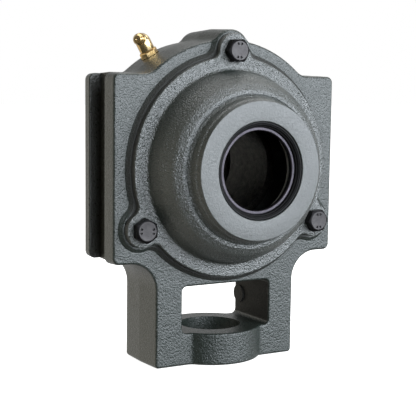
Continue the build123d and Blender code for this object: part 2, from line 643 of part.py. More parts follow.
def bearing_seal():
    """The front rubber seal between the rings, held in the outer ring's groove."""
    outer = SEAL_GROOVE_RADIUS - BEARING_SEAL_CLEARANCE
    inner = INNER_LAND_RADIUS + BEARING_SEAL_LIP_GAP
    back = SEAL_GROOVE_FLOOR + BEARING_SEAL_CLEARANCE
    waist = BEARING_SEAL_FACE - BEARING_SEAL_THICKNESS / 3
    return turned(
        closed(
            [
                (inner, back),
                (outer, back),
                (outer, BEARING_SEAL_FACE),
                (OUTER_LAND_RADIUS, BEARING_SEAL_FACE),
                (OUTER_LAND_RADIUS - BEARING_SEAL_RIM, waist),
                (inner + 2 * BEARING_SEAL_RIM, waist),
                (inner + BEARING_SEAL_RIM, BEARING_SEAL_FACE),
                (inner, BEARING_SEAL_FACE),
            ]
        )
    )


def flinger():
    """The front sheet steel slinger pressed on the inner ring outside the seal."""
    collar = FLINGER_SEAT_RADIUS + FLINGER_THICKNESS
    face = FLINGER_FACE + FLINGER_THICKNESS
    collar_end = FLINGER_FACE + FLINGER_COLLAR
    section = closed(
        [
            (FLINGER_SEAT_RADIUS, FLINGER_FACE),
            (FLINGER_RADIUS, FLINGER_FACE),
            (FLINGER_RADIUS, face),
            (collar, face),
            (collar, collar_end),
            (FLINGER_SEAT_RADIUS, collar_end),
        ]
    )
    return turned(rounded(section, [(collar, face, FLINGER_THICKNESS)]))


def ball_place(index):
    """Where one ball's centre lies on the pitch circle, counted from the top."""
    turn = radians(90 + 360 * index / BALL_COUNT)
    return Vector(PITCH_RADIUS * cos(turn), 0, PITCH_RADIUS * sin(turn))


def ball(index):
    """One steel ball between the two tracks."""
    return Pos(ball_place(index)) * Sphere(BALL_RADIUS)


def cage_half():
    """Half of the pressed cage, on the front side: a flat ring dished around every ball."""
    pocket = BALL_RADIUS + POCKET_CLEARANCE
    band = front_plane(0) * Cylinder(CAGE_OUTER_RADIUS, 2 * BALL_RADIUS, align=ABOVE)
    band -= front_plane(0) * Cylinder(CAGE_INNER_RADIUS, 4 * BALL_RADIUS)
    half = front_plane(0) * Cylinder(CAGE_OUTER_RADIUS, CAGE_SHEET, align=ABOVE)
    for index in range(BALL_COUNT):
        half += Pos(ball_place(index)) * Sphere(pocket + CAGE_SHEET)
    half &= band
    for index in range(BALL_COUNT):
        half -= Pos(ball_place(index)) * Sphere(pocket)
        half -= rivet_place(index) * Cylinder(RIVET_RADIUS + RIVET_CLEARANCE, 4 * CAGE_SHEET)
    return half


def rivet_place(index):
    """Where one rivet stands, midway between two balls, with its Z towards the front."""
    turn = radians(90 + 360 * (index + 0.5) / BALL_COUNT)
    return Plane.XZ * Pos(PITCH_RADIUS * cos(turn), PITCH_RADIUS * sin(turn))


def cage_rivet(index):
    """A rivet that holds the two halves of the cage together."""
    rivet = Cylinder(RIVET_RADIUS, 2 * CAGE_SHEET)
    for side in (-1, 1):
        middle = side * (CAGE_SHEET + RIVET_HEAD_HEIGHT / 2)
        rivet += Pos(0, 0, middle) * Cylinder(RIVET_HEAD_RADIUS, RIVET_HEAD_HEIGHT)
    return rivet_place(index) * rivet


def stop_pin():
    """The round pin that stands out of the outer ring into the housing's slot."""
    start = SPHERE_RADIUS - STOP_PIN_DEPTH + STOP_PIN_CLEARANCE
    length = SPHERE_RADIUS + STOP_PIN_RISE - start
    pin = Cylinder(STOP_PIN_RADIUS, length, align=ABOVE)
    pin = chamfer(pin.edges().group_by(Axis.Z)[-1], STOP_PIN_CHAMFER)
    return Pos(start, 0, 0) * Rot(0, 90, 0) * pin


def nozzle_frame(along):
    """A frame on the nipple's nozzle, this far from its bend, with Z towards the mouth."""
    bend, turn = radians(NIPPLE_BEND), radians(NIPPLE_TURN)
    stem = nipple_frame(NIPPLE_SEAT_LEVEL + NIPPLE_HEX_HEIGHT + NIPPLE_STEM_LENGTH)
    direction = (
        stem.x_dir * (sin(bend) * cos(turn)) + stem.y_dir * (sin(bend) * sin(turn)) + stem.z_dir * cos(bend)
    )
    return Plane(origin=stem.origin + direction * along, x_dir=stem.x_dir.cross(direction), z_dir=direction)


def nozzle_profile(points):
    """Turns an outline of (radius, distance from the bend) about the nozzle's axis."""
    return nozzle_frame(0) * revolve(Plane.XZ * make_face(Polyline(*points, close=True)), Axis.Z, 360)


def nipple_body():
    """The bent grease nipple: threaded shank, hexagon, stem, bend, nozzle and their bore."""
    frame = nipple_frame(NIPPLE_SEAT_LEVEL)
    bend_height = NIPPLE_HEX_HEIGHT + NIPPLE_STEM_LENGTH
    shank_radius = NIPPLE_THREAD_RADIUS - NIPPLE_THREAD_CLEARANCE
    body = Cylinder(shank_radius, NIPPLE_THREAD_LENGTH, align=BELOW)
    hexagon = RegularPolygon(NIPPLE_HEX_FLATS / 2, 6, major_radius=False, rotation=NIPPLE_TURN)
    body += extrude(hexagon, NIPPLE_HEX_HEIGHT)
    body += Cylinder(NIPPLE_STEM_RADIUS, bend_height, align=ABOVE)
    body += Pos(0, 0, bend_height) * Sphere(NIPPLE_STEM_RADIUS)
    neck_end = NOZZLE_LENGTH - NOZZLE_HEAD_LENGTH
    nozzle = nozzle_profile(
        [
            (0, 0),
            (NOZZLE_NECK_RADIUS, 0),
            (NOZZLE_NECK_RADIUS, neck_end),
            (NOZZLE_HEAD_RADIUS, neck_end + NOZZLE_HEAD_LENGTH / 3),
            (NOZZLE_HEAD_RADIUS, neck_end + NOZZLE_HEAD_LENGTH / 2),
            (NOZZLE_FACE_RADIUS, NOZZLE_LENGTH),
            (0, NOZZLE_LENGTH),
        ]
    )
    way_length = NIPPLE_THREAD_LENGTH + bend_height
    way = Pos(0, 0, -NIPPLE_THREAD_LENGTH) * Cylinder(STEM_BORE_RADIUS, way_length, align=ABOVE)
    bore_end = NOZZLE_LENGTH - NOZZLE_WALL
    bore = nozzle_frame(NOZZLE_BORE_START) * Cylinder(
        NOZZLE_BORE_RADIUS, bore_end - NOZZLE_BORE_START, align=ABOVE
    )
    mouth = nozzle_frame(bore_end) * Cylinder(NOZZLE_FACE_HOLE, 4 * NOZZLE_WALL)
    throat = nozzle_frame(0) * Cylinder(NOZZLE_FACE_HOLE, NOZZLE_BORE_RADIUS, align=ABOVE)
    return frame * (body - way) + nozzle - bore - mouth - throat - frame * way


def check_ball_centre():
    """How far from the nipple's bend the check ball's centre is when it closes the mouth."""
    seat_depth = sqrt(CHECK_BALL_RADIUS**2 - NOZZLE_FACE_HOLE**2)
    return NOZZLE_LENGTH - NOZZLE_WALL - seat_depth - CHECK_BALL_CLEARANCE


def check_ball():
    """The ball that closes the nipple's mouth from inside."""
    return nozzle_frame(check_ball_centre()) * Sphere(CHECK_BALL_RADIUS)


def check_spring():
    """The coil spring between the check ball and the end of the nozzle's bore."""
    coil_radius = NOZZLE_BORE_RADIUS - SPRING_CLEARANCE - SPRING_WIRE_RADIUS
    ball_reach = sqrt((CHECK_BALL_RADIUS + SPRING_WIRE_RADIUS) ** 2 - coil_radius**2)
    start = NOZZLE_BORE_START + SPRING_WIRE_RADIUS
    length = check_ball_centre() - ball_reach - CHECK_BALL_CLEARANCE - start
    path = Helix(length / SPRING_TURNS, length, coil_radius)
    wire = Plane(path @ 0, z_dir=path % 0) * Circle(SPRING_WIRE_RADIUS)
    return nozzle_frame(start) * sweep(wire, path, is_frenet=True)


def pieces():
    """Every separate piece of the unit by its name."""
    made = {
        "housing": housing(),
        "cover_front": open_cover(),
        "cover_back": closed_cover(),
        "gasket_front": gasket(),
        "gasket_back": at_back(gasket()),
        "shaft_seal": shaft_seal(),
        "seal_ring": seal_ring(),
        "outer_ring": outer_ring(),
        "inner_ring": inner_ring(),
        "bearing_seal_front": bearing_seal(),
        "bearing_seal_back": at_back(bearing_seal()),
        "flinger_front": flinger(),
        "flinger_back": at_back(flinger()),
        "cage_front": cage_half(),
        "cage_back": at_back(cage_half()),
        "stop_pin": stop_pin(),
        "nipple_body": nipple_body(),
        "nipple_ball": check_ball(),
        "nipple_spring": check_spring(),
    }
    for number, (centre, turn) in enumerate(zip(bolt_centres(), BOLT_TURNS), start=1):
        made[f"bolt_front_{number}"] = cover_bolt(centre, turn)
        made[f"bolt_back_{number}"] = at_back(cover_bolt(centre, turn))
    for number in range(1, BALL_COUNT + 1):
        made[f"ball_{number}"] = ball(number - 1)
        made[f"cage_rivet_{number}"] = cage_rivet(number - 1)
    return made


os.makedirs("parts", exist_ok=True)
for name, solid in pieces().items():
    export_step(solid, f"parts/{name}.step")
    print(name, round(solid.volume, 1))
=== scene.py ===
import math

import bmesh
import bpy
from mathutils import Matrix, Vector


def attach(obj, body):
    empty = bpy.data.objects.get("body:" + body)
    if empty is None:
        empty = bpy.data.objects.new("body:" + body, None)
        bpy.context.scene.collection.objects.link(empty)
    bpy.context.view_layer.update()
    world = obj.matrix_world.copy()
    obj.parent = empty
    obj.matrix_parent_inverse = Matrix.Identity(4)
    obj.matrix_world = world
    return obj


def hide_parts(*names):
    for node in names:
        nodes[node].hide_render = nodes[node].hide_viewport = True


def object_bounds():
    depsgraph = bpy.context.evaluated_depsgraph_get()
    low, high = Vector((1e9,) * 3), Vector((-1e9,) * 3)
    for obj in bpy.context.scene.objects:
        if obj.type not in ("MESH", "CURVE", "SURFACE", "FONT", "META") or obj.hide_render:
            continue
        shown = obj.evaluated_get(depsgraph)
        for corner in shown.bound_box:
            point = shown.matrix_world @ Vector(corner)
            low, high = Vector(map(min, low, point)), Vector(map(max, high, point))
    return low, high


# Take up bearing unit. The frame's solids carry the main shapes, and this script gives them their
# finish. The covers, their bolts, the shaft seal and the grease nipple are made here in more detail.
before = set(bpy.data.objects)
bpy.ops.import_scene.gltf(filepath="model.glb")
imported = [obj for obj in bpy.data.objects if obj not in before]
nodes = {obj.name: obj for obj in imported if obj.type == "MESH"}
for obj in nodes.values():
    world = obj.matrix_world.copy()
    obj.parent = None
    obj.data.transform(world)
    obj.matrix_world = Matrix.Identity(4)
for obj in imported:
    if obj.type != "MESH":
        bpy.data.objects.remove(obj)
cadBox = [list(corner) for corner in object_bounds()]
mm = 0.001
print("frame loaded:", len(nodes), "nodes")


def linearColour(code):
    # an sRGB hex value, such as "8A948F", as linear red, green, blue, alpha
    channels = [int(code[i:i + 2], 16) / 255 for i in (0, 2, 4)]
    return tuple(c / 12.92 if c <= 0.04045 else ((c + 0.055) / 1.055) ** 2.4 for c in channels) + (1.0,)


def addNode(tree, kind, settings=None, inputs=None):
    # one node with its settings, its input values and what feeds it; a node stands for its first output
    node = tree.nodes.new(kind)
    for name, value in (settings or {}).items():
        setattr(node, name, value)
    for key, value in (inputs or {}).items():
        source = value.outputs[0] if isinstance(value, bpy.types.Node) else value
        if isinstance(source, bpy.types.NodeSocket):
            tree.links.new(source, node.inputs[key])
        else:
            node.inputs[key].default_value = source
    return node


# Settings that many nodes share.
multiply = {"operation": "MULTIPLY"}
multiplyAdd = {"operation": "MULTIPLY_ADD"}
absolute = {"operation": "ABSOLUTE"}
lessThan = {"operation": "LESS_THAN"}
colourMix = {"data_type": "RGBA"}
numberMix = {"data_type": "FLOAT"}
smoothStep = {"interpolation_type": "SMOOTHSTEP"}


def startMaterial(name):
    # an empty material; returns it with its tree and the place in millimetres
    material = bpy.data.materials.new(name)
    material.use_nodes = True
    tree = material.node_tree
    tree.nodes.clear()
    place = addNode(tree, "ShaderNodeTexCoord").outputs["Object"]
    inMm = addNode(tree, "ShaderNodeVectorMath", {"operation": "SCALE"}, {0: place, "Scale": 1 / mm})
    return material, tree, inMm.outputs[0]


def finishMaterial(tree, shader):
    addNode(tree, "ShaderNodeOutputMaterial", None, {"Surface": shader.outputs["BSDF"]})


# Alkyd enamel sprayed on sand cast iron: a half gloss grey green skin that follows the sand's
# grain, so that the light breaks up into small highlights, with pinholes on the flat faces.
enamel = {
    "paint": "252D29",
    "paintLight": "37413C",
    "paintDark": "151A18",
    "evenness": 0.55,
    "turnedFace": "262D2A",
    "pinhole": "1E221F",
    "guideIron": "32332E",
    # primer inside the covers, painted this pale to stand in for light that comes in through the bore
    "primerPaintedLight": "D2D0C8",
    # painted shade on the flanges' sides, round the covers' seat and on the window's walls, and the roughness
    # there
    "paintedShade": "1C1B16",
    "roughness": 0.31,
    "shadedRoughness": 0.8,
    "specular": 0.85,
    "grainMm": 0.68,
    "gritMm": 0.42,
    "swellMm": 11.0,
    "swellDepthMm": 0.6,
    "pinholeMm": 2.6,
    "cover": {"index": 1.76, "reliefMm": 0.46, "strength": 1.0},
    "casting": {"index": 1.46, "reliefMm": 0.32, "strength": 0.75},
}
# Where the covers' paint differs: lengths are in millimetres from the middle plane or the shaft's
# axis, and the others are shares.
coverPatches = {
    "turnedFace": (42.9, 43.35),
    "faceSmoothing": -0.78,
    "faceRoughening": 0.22,
    "hollowRadius": 23.0,
    "hollowDepth": 41.0,
    # where painted shade darkens the flange's side, and how strongly
    "shadeEdge": (19.6, 18.6),
    "shadeBeyond": 47.0,
    "shadeStrength": 0.8,
}
# The same for the housing: its guide grooves, and the window's walls and the skirt of the covers' seat, which
# take painted shade.
castingPatches = {
    "grooveBeyond": 52.7,
    "grooveMiddle": 1.6,
    "grooveHalf": 8.05,
    "windowHalf": 27.2,
    "windowMiddle": -65.0,
    "windowReach": 9.4,
    "windowEdge": (14.9, 14.2),
    "skirtRadius": (55.5, 53.0),
    "skirtFace": (15.4, 16.0),
    "shadeStrength": 0.75,
}


def placeParts(tree, place):
    # sideways, backwards and upwards, then the distance from the middle plane and from the axis
    x, y, z = addNode(tree, "ShaderNodeSeparateXYZ", None, {"Vector": place}).outputs
    front = addNode(tree, "ShaderNodeMath", absolute, {0: y})
    flat = addNode(tree, "ShaderNodeCombineXYZ", None, {0: x, 1: z})
    radius = addNode(tree, "ShaderNodeVectorMath", {"operation": "LENGTH"}, {0: flat})
    return x, y, z, front.outputs[0], radius.outputs["Value"]


def coverLayers(tree, place, paint, pit):
    # the covers' colour, their mask of painted shade and the mask of the hub's turned face
    c = coverPatches
    _, _, _, front, radius = placeParts(tree, place)
    # the hub's end is turned smooth before it is painted, so its pinholes show dark
    faced = addNode(tree, "ShaderNodeMapRange", None, {
        "Value": front, "From Min": c["turnedFace"][0], "From Max": c["turnedFace"][1]})
    turned = addNode(tree, "ShaderNodeMix", colourMix, {
        "Factor": faced, 6: paint, 7: linearColour(enamel["turnedFace"])})
    deep = addNode(tree, "ShaderNodeMath", multiply, {0: pit, 1: faced})
    holed = addNode(tree, "ShaderNodeMix", colourMix, {
        "Factor": deep, 6: turned.outputs[2], 7: linearColour(enamel["pinhole"])})
    # inside, the covers have a primer, painted pale to stand in for light that comes in through the bore
    near = addNode(tree, "ShaderNodeMath", lessThan, {0: radius, 1: c["hollowRadius"]})
    shallow = addNode(tree, "ShaderNodeMath", lessThan, {0: front, 1: c["hollowDepth"]})
    inside = addNode(tree, "ShaderNodeMath", multiply, {0: near, 1: shallow})
    primedPaintedLight = addNode(tree, "ShaderNodeMix", colourMix, {
        "Factor": inside, 6: holed.outputs[2], 7: linearColour(enamel["primerPaintedLight"])})
    # painted shade: the flange's side is darkened and made rougher down to its seat
    low = addNode(tree, "ShaderNodeMapRange", None, {
        "Value": front, "From Min": c["shadeEdge"][0], "From Max": c["shadeEdge"][1], "To Max": c["shadeStrength"]})
    outer = addNode(tree, "ShaderNodeMath", {"operation": "GREATER_THAN"}, {0: radius, 1: c["shadeBeyond"]})
    paintedShade = addNode(tree, "ShaderNodeMath", multiply, {0: low, 1: outer})
    return primedPaintedLight.outputs[2], paintedShade.outputs[0], faced.outputs[0]


def castingLayers(tree, place, paint):
    # the housing's colour and its mask of painted shade
    c = castingPatches
    x, y, z, front, radius = placeParts(tree, place)
    side = addNode(tree, "ShaderNodeMath", absolute, {0: x})
    # the grooves that run on the frame's rails are cut and oiled, not painted
    deep = addNode(tree, "ShaderNodeMath", {"operation": "GREATER_THAN"}, {0: side, 1: c["grooveBeyond"]})
    middle = addNode(tree, "ShaderNodeMath", {"operation": "SUBTRACT"}, {0: y, 1: c["grooveMiddle"]})
    across = addNode(tree, "ShaderNodeMath", absolute, {0: middle})
    within = addNode(tree, "ShaderNodeMath", lessThan, {0: across, 1: c["grooveHalf"]})
    groove = addNode(tree, "ShaderNodeMath", multiply, {0: deep, 1: within})
    cut = addNode(tree, "ShaderNodeMix", colourMix, {
        "Factor": groove, 6: paint, 7: linearColour(enamel["guideIron"])})
    # painted shade darkens the window's walls
    beside = addNode(tree, "ShaderNodeMath", lessThan, {0: side, 1: c["windowHalf"]})
    beyond = addNode(tree, "ShaderNodeMath", {"operation": "COMPARE"}, {
        0: z, 1: c["windowMiddle"], 2: c["windowReach"]})
    between = addNode(tree, "ShaderNodeMapRange", None, {
        "Value": front, "From Min": c["windowEdge"][0], "From Max": c["windowEdge"][1]})
    opening = addNode(tree, "ShaderNodeMath", multiply, {0: beside, 1: beyond})
    window = addNode(tree, "ShaderNodeMath", multiply, {0: opening, 1: between})
    # and painted shade darkens the corner round the covers' seat
    close = addNode(tree, "ShaderNodeMapRange", None, {
        "Value": radius, "From Min": c["skirtRadius"][0], "From Max": c["skirtRadius"][1],
        "To Max": c["shadeStrength"]})
    raised = addNode(tree, "ShaderNodeMapRange", None, {
        "Value": front, "From Min": c["skirtFace"][0], "From Max": c["skirtFace"][1]})
    skirt = addNode(tree, "ShaderNodeMath", multiply, {0: close, 1: raised})
    paintedShade = addNode(tree, "ShaderNodeMath", {"operation": "MAXIMUM"}, {0: window, 1: skirt})
    return cut.outputs[2], paintedShade.outputs[0]


def enamelMaterial(name, isCover):
    material, tree, place = startMaterial(name)
    finish = enamel["cover" if isCover else "casting"]
    roughness = enamel["roughness"]
    grain = addNode(tree, "ShaderNodeTexVoronoi", {"feature": "SMOOTH_F1"}, {
        "Vector": place, "Scale": 1 / enamel["grainMm"], "Smoothness": 0.7})
    wander = addNode(tree, "ShaderNodeTexNoise", None, {
        "Vector": place, "Scale": 1 / (1.6 * enamel["grainMm"]), "Detail": 3.0, "Roughness": 0.6})
    grit = addNode(tree, "ShaderNodeTexNoise", None, {
        "Vector": place, "Scale": 1 / enamel["gritMm"], "Detail": 2.0, "Roughness": 0.6})
    swell = addNode(tree, "ShaderNodeTexNoise", None, {
        "Vector": place, "Scale": 1 / enamel["swellMm"], "Detail": 2.0, "Roughness": 0.45})
    # the skin's height: lumps over the grains of sand, with grit between them
    lumps = addNode(tree, "ShaderNodeMath", multiplyAdd, {
        0: grain.outputs["Distance"], 1: -0.55, 2: wander.outputs["Fac"]})
    height = addNode(tree, "ShaderNodeMath", multiplyAdd, {0: grit.outputs["Fac"], 1: 0.55, 2: lumps})
    # pinholes: the middles of a few cells only
    pits = addNode(tree, "ShaderNodeTexVoronoi", {"feature": "F1"}, {
        "Vector": place, "Scale": 1 / enamel["pinholeMm"], "Randomness": 1.0})
    few = addNode(tree, "ShaderNodeSeparateColor", None, {"Color": pits.outputs["Color"]})
    size = addNode(tree, "ShaderNodeMapRange", None, {
        "Value": few, "From Min": 0.45, "From Max": 1.0, "To Min": 0.0, "To Max": 0.2})
    pit = addNode(tree, "ShaderNodeMath", lessThan, {0: pits.outputs["Distance"], 1: size})
    pitted = addNode(tree, "ShaderNodeMath", multiplyAdd, {0: pit, 1: -0.8, 2: height})
    # paint colour: paler on the lumps, darker where it gathers between them
    tone = addNode(tree, "ShaderNodeMapRange", None, {"Value": height, "From Min": 0.25, "From Max": 0.85})
    patchy = addNode(tree, "ShaderNodeMix", colourMix, {
        "Factor": tone, 6: linearColour(enamel["paintDark"]), 7: linearColour(enamel["paintLight"])})
    paint = addNode(tree, "ShaderNodeMix", colourMix, {
        "Factor": enamel["evenness"], 6: patchy.outputs[2], 7: linearColour(enamel["paint"])})
    shine = addNode(tree, "ShaderNodeMapRange", None, {
        "Value": wander.outputs["Fac"], "From Min": 0.3, "From Max": 0.7, "To Min": roughness - 0.06,
        "To Max": roughness + 0.08})
    strength = finish["strength"]
    if isCover:
        colour, paintedShade, faced = coverLayers(tree, place, paint.outputs[2], pit.outputs[0])
        smooth = addNode(tree, "ShaderNodeMath", multiplyAdd, {
            0: faced, 1: coverPatches["faceSmoothing"], 2: strength})
        strength = smooth.outputs[0]
        shine = addNode(tree, "ShaderNodeMath", multiplyAdd, {
            0: faced, 1: coverPatches["faceRoughening"], 2: shine})
    else:
        colour, paintedShade = castingLayers(tree, place, paint.outputs[2])
    # painted shade: darker and rougher paint where the masks say
    paintedShadeMix = addNode(tree, "ShaderNodeMix", colourMix, {
        "Factor": paintedShade, 6: colour, 7: linearColour(enamel["paintedShade"])})
    dull = addNode(tree, "ShaderNodeMix", numberMix, {"Factor": paintedShade, 2: shine, 3: enamel["shadedRoughness"]})
    relief = addNode(tree, "ShaderNodeBump", None, {
        "Strength": strength, "Distance": finish["reliefMm"] * mm, "Height": pitted})
    waves = addNode(tree, "ShaderNodeBump", None, {
        "Strength": 0.4, "Distance": enamel["swellDepthMm"] * mm, "Height": swell.outputs["Fac"],
        "Normal": relief})
    shader = addNode(tree, "ShaderNodeBsdfPrincipled", None, {
        "Base Color": paintedShadeMix.outputs[2], "Roughness": dull, "Normal": waves, "IOR": finish["index"],
        "Specular IOR Level": enamel["specular"]})
    finishMaterial(tree, shader)
    return material


# Steel of several finishes. Each has its tint, roughness and the size of its tool marks.
steels = {
    # black oxide on forged steel: a soft violet black that is worn paler on the flat faces
    "blackenedSteel": {"base": "3A3839", "worn": "484646", "metallic": 0.7, "roughness": 0.42,
                       "markMm": 0.5, "markDepthMm": 0.02, "side": "0D0C0E"},
    # ground bearing steel under a film of oil: dark, with faint grinding marks
    "groundSteel": {"base": "55534F", "worn": "736F69", "metallic": 1.0, "roughness": 0.3,
                    "markMm": 0.35, "markDepthMm": 0.01},
    # lapped balls: nearly a mirror
    "lappedSteel": {"base": "B9BBBE", "worn": "C6C8CA", "metallic": 1.0, "roughness": 0.08,
                    "markMm": 3.0, "markDepthMm": 0.001},
    # cold rolled strip, pressed to shape: satin with faint marks of the die
    "pressedSteel": {"base": "8F9092", "worn": "A6A7A8", "metallic": 1.0, "roughness": 0.33,
                     "markMm": 0.8, "markDepthMm": 0.01},
    # bright turned ring in the seal, with a lilac cast from its thin zinc coat
    "brightSteel": {"base": "4D4A50", "worn": "5A565D", "metallic": 0.8, "roughness": 0.5,
                    "markMm": 0.6, "markDepthMm": 0.01},
    # yellow passivated zinc on the nipple: golden and glossy, with paler patches in the film
    "yellowZinc": {"base": "BE9A5C", "worn": "E2C99A", "metallic": 0.85, "roughness": 0.2,
                   "markMm": 1.4, "markDepthMm": 0.002},
    # oiled spring wire: plain grey with a soft shine
    "springSteel": {"base": "6A6B6D", "worn": "838486", "metallic": 1.0, "roughness": 0.25,
                    "markMm": 0.4, "markDepthMm": 0.004},
}


def steelMaterial(name):
    finish = steels[name]
    material, tree, place = startMaterial(name)
    patches = addNode(tree, "ShaderNodeTexNoise", None, {
        "Vector": place, "Scale": 1 / (6 * finish["markMm"]), "Detail": 4.0, "Roughness": 0.6})
    marks = addNode(tree, "ShaderNodeTexNoise", None, {
        "Vector": place, "Scale": 1 / finish["markMm"], "Detail": 3.0, "Roughness": 0.55})
    worn = addNode(tree, "ShaderNodeMapRange", None, {
        "Value": patches.outputs["Fac"], "From Min": 0.35, "From Max": 0.7})
    tint = addNode(tree, "ShaderNodeMix", colourMix, {
        "Factor": worn, 6: linearColour(finish["base"]), 7: linearColour(finish["worn"])})
    if "side" in finish:
        # the oxide stays black on the sides and is rubbed paler on the flat top
        normal = addNode(tree, "ShaderNodeTexCoord").outputs["Normal"]
        along = addNode(tree, "ShaderNodeSeparateXYZ", None, {"Vector": normal}).outputs[1]
        facing = addNode(tree, "ShaderNodeMath", absolute, {0: along})
        top = addNode(tree, "ShaderNodeMapRange", None, {"Value": facing, "From Min": 0.9, "From Max": 0.985})
        tint = addNode(tree, "ShaderNodeMix", colourMix, {
            "Factor": top, 6: linearColour(finish["side"]), 7: tint.outputs[2]})
    shine = addNode(tree, "ShaderNodeMapRange", None, {
        "Value": marks.outputs["Fac"], "From Min": 0.3, "From Max": 0.7, "To Min": finish["roughness"] * 0.8,
        "To Max": finish["roughness"] * 1.25})
    relief = addNode(tree, "ShaderNodeBump", None, {
        "Strength": 1.0, "Distance": finish["markDepthMm"] * mm, "Height": marks.outputs["Fac"]})
    shader = addNode(tree, "ShaderNodeBsdfPrincipled", None, {
        "Base Color": tint.outputs[2], "Metallic": finish["metallic"], "Roughness": shine, "Normal": relief})
    finishMaterial(tree, shader)
    return material


# Nitrile rubber, moulded: matt black with a fine dusty bloom, barely paler than the rest.
rubber = {
    "base": "060607",
    "bloom": "0C0C0E",
    "roughness": 0.5,
    "specular": 0.2,
    "bloomMm": 2.0,
    "grainMm": 0.25,
    "grainDepthMm": 0.02,
}


def rubberMaterial(name):
    material, tree, place = startMaterial(name)
    bloom = addNode(tree, "ShaderNodeTexNoise", None, {
        "Vector": place, "Scale": 1 / rubber["bloomMm"], "Detail": 4.0, "Roughness": 0.6})
    grain = addNode(tree, "ShaderNodeTexNoise", None, {
        "Vector": place, "Scale": 1 / rubber["grainMm"], "Detail": 2.0})
    tint = addNode(tree, "ShaderNodeMix", colourMix, {
        "Factor": bloom.outputs["Fac"], 6: linearColour(rubber["base"]), 7: linearColour(rubber["bloom"])})
    shine = addNode(tree, "ShaderNodeMapRange", None, {
        "Value": bloom.outputs["Fac"], "From Min": 0.3, "From Max": 0.7, "To Min": rubber["roughness"] - 0.08,
        "To Max": rubber["roughness"] + 0.1})
    relief = addNode(tree, "ShaderNodeBump", None, {
        "Strength": 0.5, "Distance": rubber["grainDepthMm"] * mm, "Height": grain.outputs["Fac"]})
    shader = addNode(tree, "ShaderNodeBsdfPrincipled", None, {
        "Base Color": tint.outputs[2], "Roughness": shine, "Normal": relief,
        "Specular IOR Level": rubber["specular"]})
    finishMaterial(tree, shader)
    return material


housingEnamel = enamelMaterial("housingEnamel", False)
coverEnamel = enamelMaterial("coverEnamel", True)
nitrileRubber = rubberMaterial("nitrileRubber")
steel = {name: steelMaterial(name) for name in steels}
print("materials made:", len(bpy.data.materials))


def dress(material, *names):
    # gives the frame's own nodes their finish
    for name in names:
        data = nodes[name].data
        data.materials.clear()
        data.materials.append(material)


dress(housingEnamel, "housing")
dress(coverEnamel, "cover_front", "cover_back")
dress(nitrileRubber, "gasket_front", "gasket_back", "shaft_seal", "bearing_seal_front", "bearing_seal_back")
dress(steel["brightSteel"], "seal_ring")
dress(steel["groundSteel"], "outer_ring", "inner_ring", "stop_pin")
dress(steel["pressedSteel"], "cage_front", "cage_back", "flinger_front", "flinger_back",
      *[name for name in nodes if name.startswith("cage_rivet")])
dress(steel["lappedSteel"], "nipple_ball", *[name for name in nodes if name.startswith("ball_")])
dress(steel["springSteel"], "nipple_spring")
dress(steel["yellowZinc"], "nipple_body")
dress(steel["blackenedSteel"], *[name for name in nodes if name.startswith("bolt_")])
print("frame dressed")


def ringOf(radius, height, count):
    # points round the Z axis; radius is a number or a function of the angle, and 0 is a pole
    if radius == 0:
        return [Vector((0, 0, height))]
    ring = []
    for i in range(count):
        angle = 2 * math.pi * i / count
        r = radius(angle) if callable(radius) else radius
        ring.append(Vector((r * math.cos(angle), r * math.sin(angle), height)))
    return ring


def skinThrough(rings):
    # a closed skin through rings of points in millimetres; returns a bmesh in metres
    skin = bmesh.new()
    loops = [[skin.verts.new(point * mm) for point in ring] for ring in rings]
    for one, two in zip(loops, loops[1:]):
        count = max(len(one), len(two))
        for i in range(count):
            j = (i + 1) % count
            corners = [one[i % len(one)], one[j % len(one)], two[j % len(two)], two[i % len(two)]]
            skin.faces.new(list(dict.fromkeys(corners)))
    bmesh.ops.recalc_face_normals(skin, faces=skin.faces)
    return skin


def turnedSkin(outline, count):
    # a skin turned round the Z axis from pairs of radius and height
    return skinThrough([ringOf(radius, height, count) for radius, height in outline])


def merged(skin, distanceMm):
    # closes a skin where its rings meet again
    bmesh.ops.remove_doubles(skin, verts=skin.verts, dist=distanceMm * mm)
    bmesh.ops.recalc_face_normals(skin, faces=skin.faces)
    return skin


def smoothShade(mesh, sharpAngle):
    # smooth except across sharp edges
    mesh.polygons.foreach_set("use_smooth", [True] * len(mesh.polygons))
    mesh.set_sharp_from_angle(angle=math.radians(sharpAngle))


def asObject(name, skin, sharpAngle=35.0):
    # a linked object from a bmesh
    mesh = bpy.data.meshes.new(name)
    skin.to_mesh(mesh)
    skin.free()
    smoothShade(mesh, sharpAngle)
    thing = bpy.data.objects.new(name, mesh)
    bpy.context.scene.collection.objects.link(thing)
    return thing


def hexagon(flats, softness=0.0):
    # a hexagon's radius at an angle, with its corners drawn in a little
    def radiusAt(angle):
        fromFlat = (angle % (math.pi / 3)) - math.pi / 6
        return flats / 2 / math.cos(fromFlat) - softness * (abs(fromFlat) / (math.pi / 6)) ** 8
    return radiusAt


def placed(skin, origin, along, xDirection):
    # stands a bmesh made along Z on a point, with its Z along a direction
    zAxis = along.normalized()
    xAxis = (xDirection - zAxis * xDirection.dot(zAxis)).normalized()
    turnMatrix = Matrix((xAxis, zAxis.cross(xAxis), zAxis)).transposed().to_4x4()
    bmesh.ops.transform(skin, matrix=Matrix.Translation(origin * mm) @ turnMatrix, verts=skin.verts)
    return skin


def carved(main, tool, operation):
    # one exact boolean, applied
    cut = main.modifiers.new(operation, "BOOLEAN")
    cut.operation, cut.object, cut.solver = operation, tool, "EXACT"
    mesh = bpy.data.meshes.new_from_object(main.evaluated_get(bpy.context.evaluated_depsgraph_get()))
    main.modifiers.remove(cut)
    main.data = mesh
    bpy.data.objects.remove(tool)


def afterCarving(piece, name, sharpAngle, material):
    # a carved mesh gets its name, its shading and its one material back
    piece.data.name = name
    smoothShade(piece.data, sharpAngle)
    piece.data.materials.clear()
    piece.data.materials.append(material)
    return piece


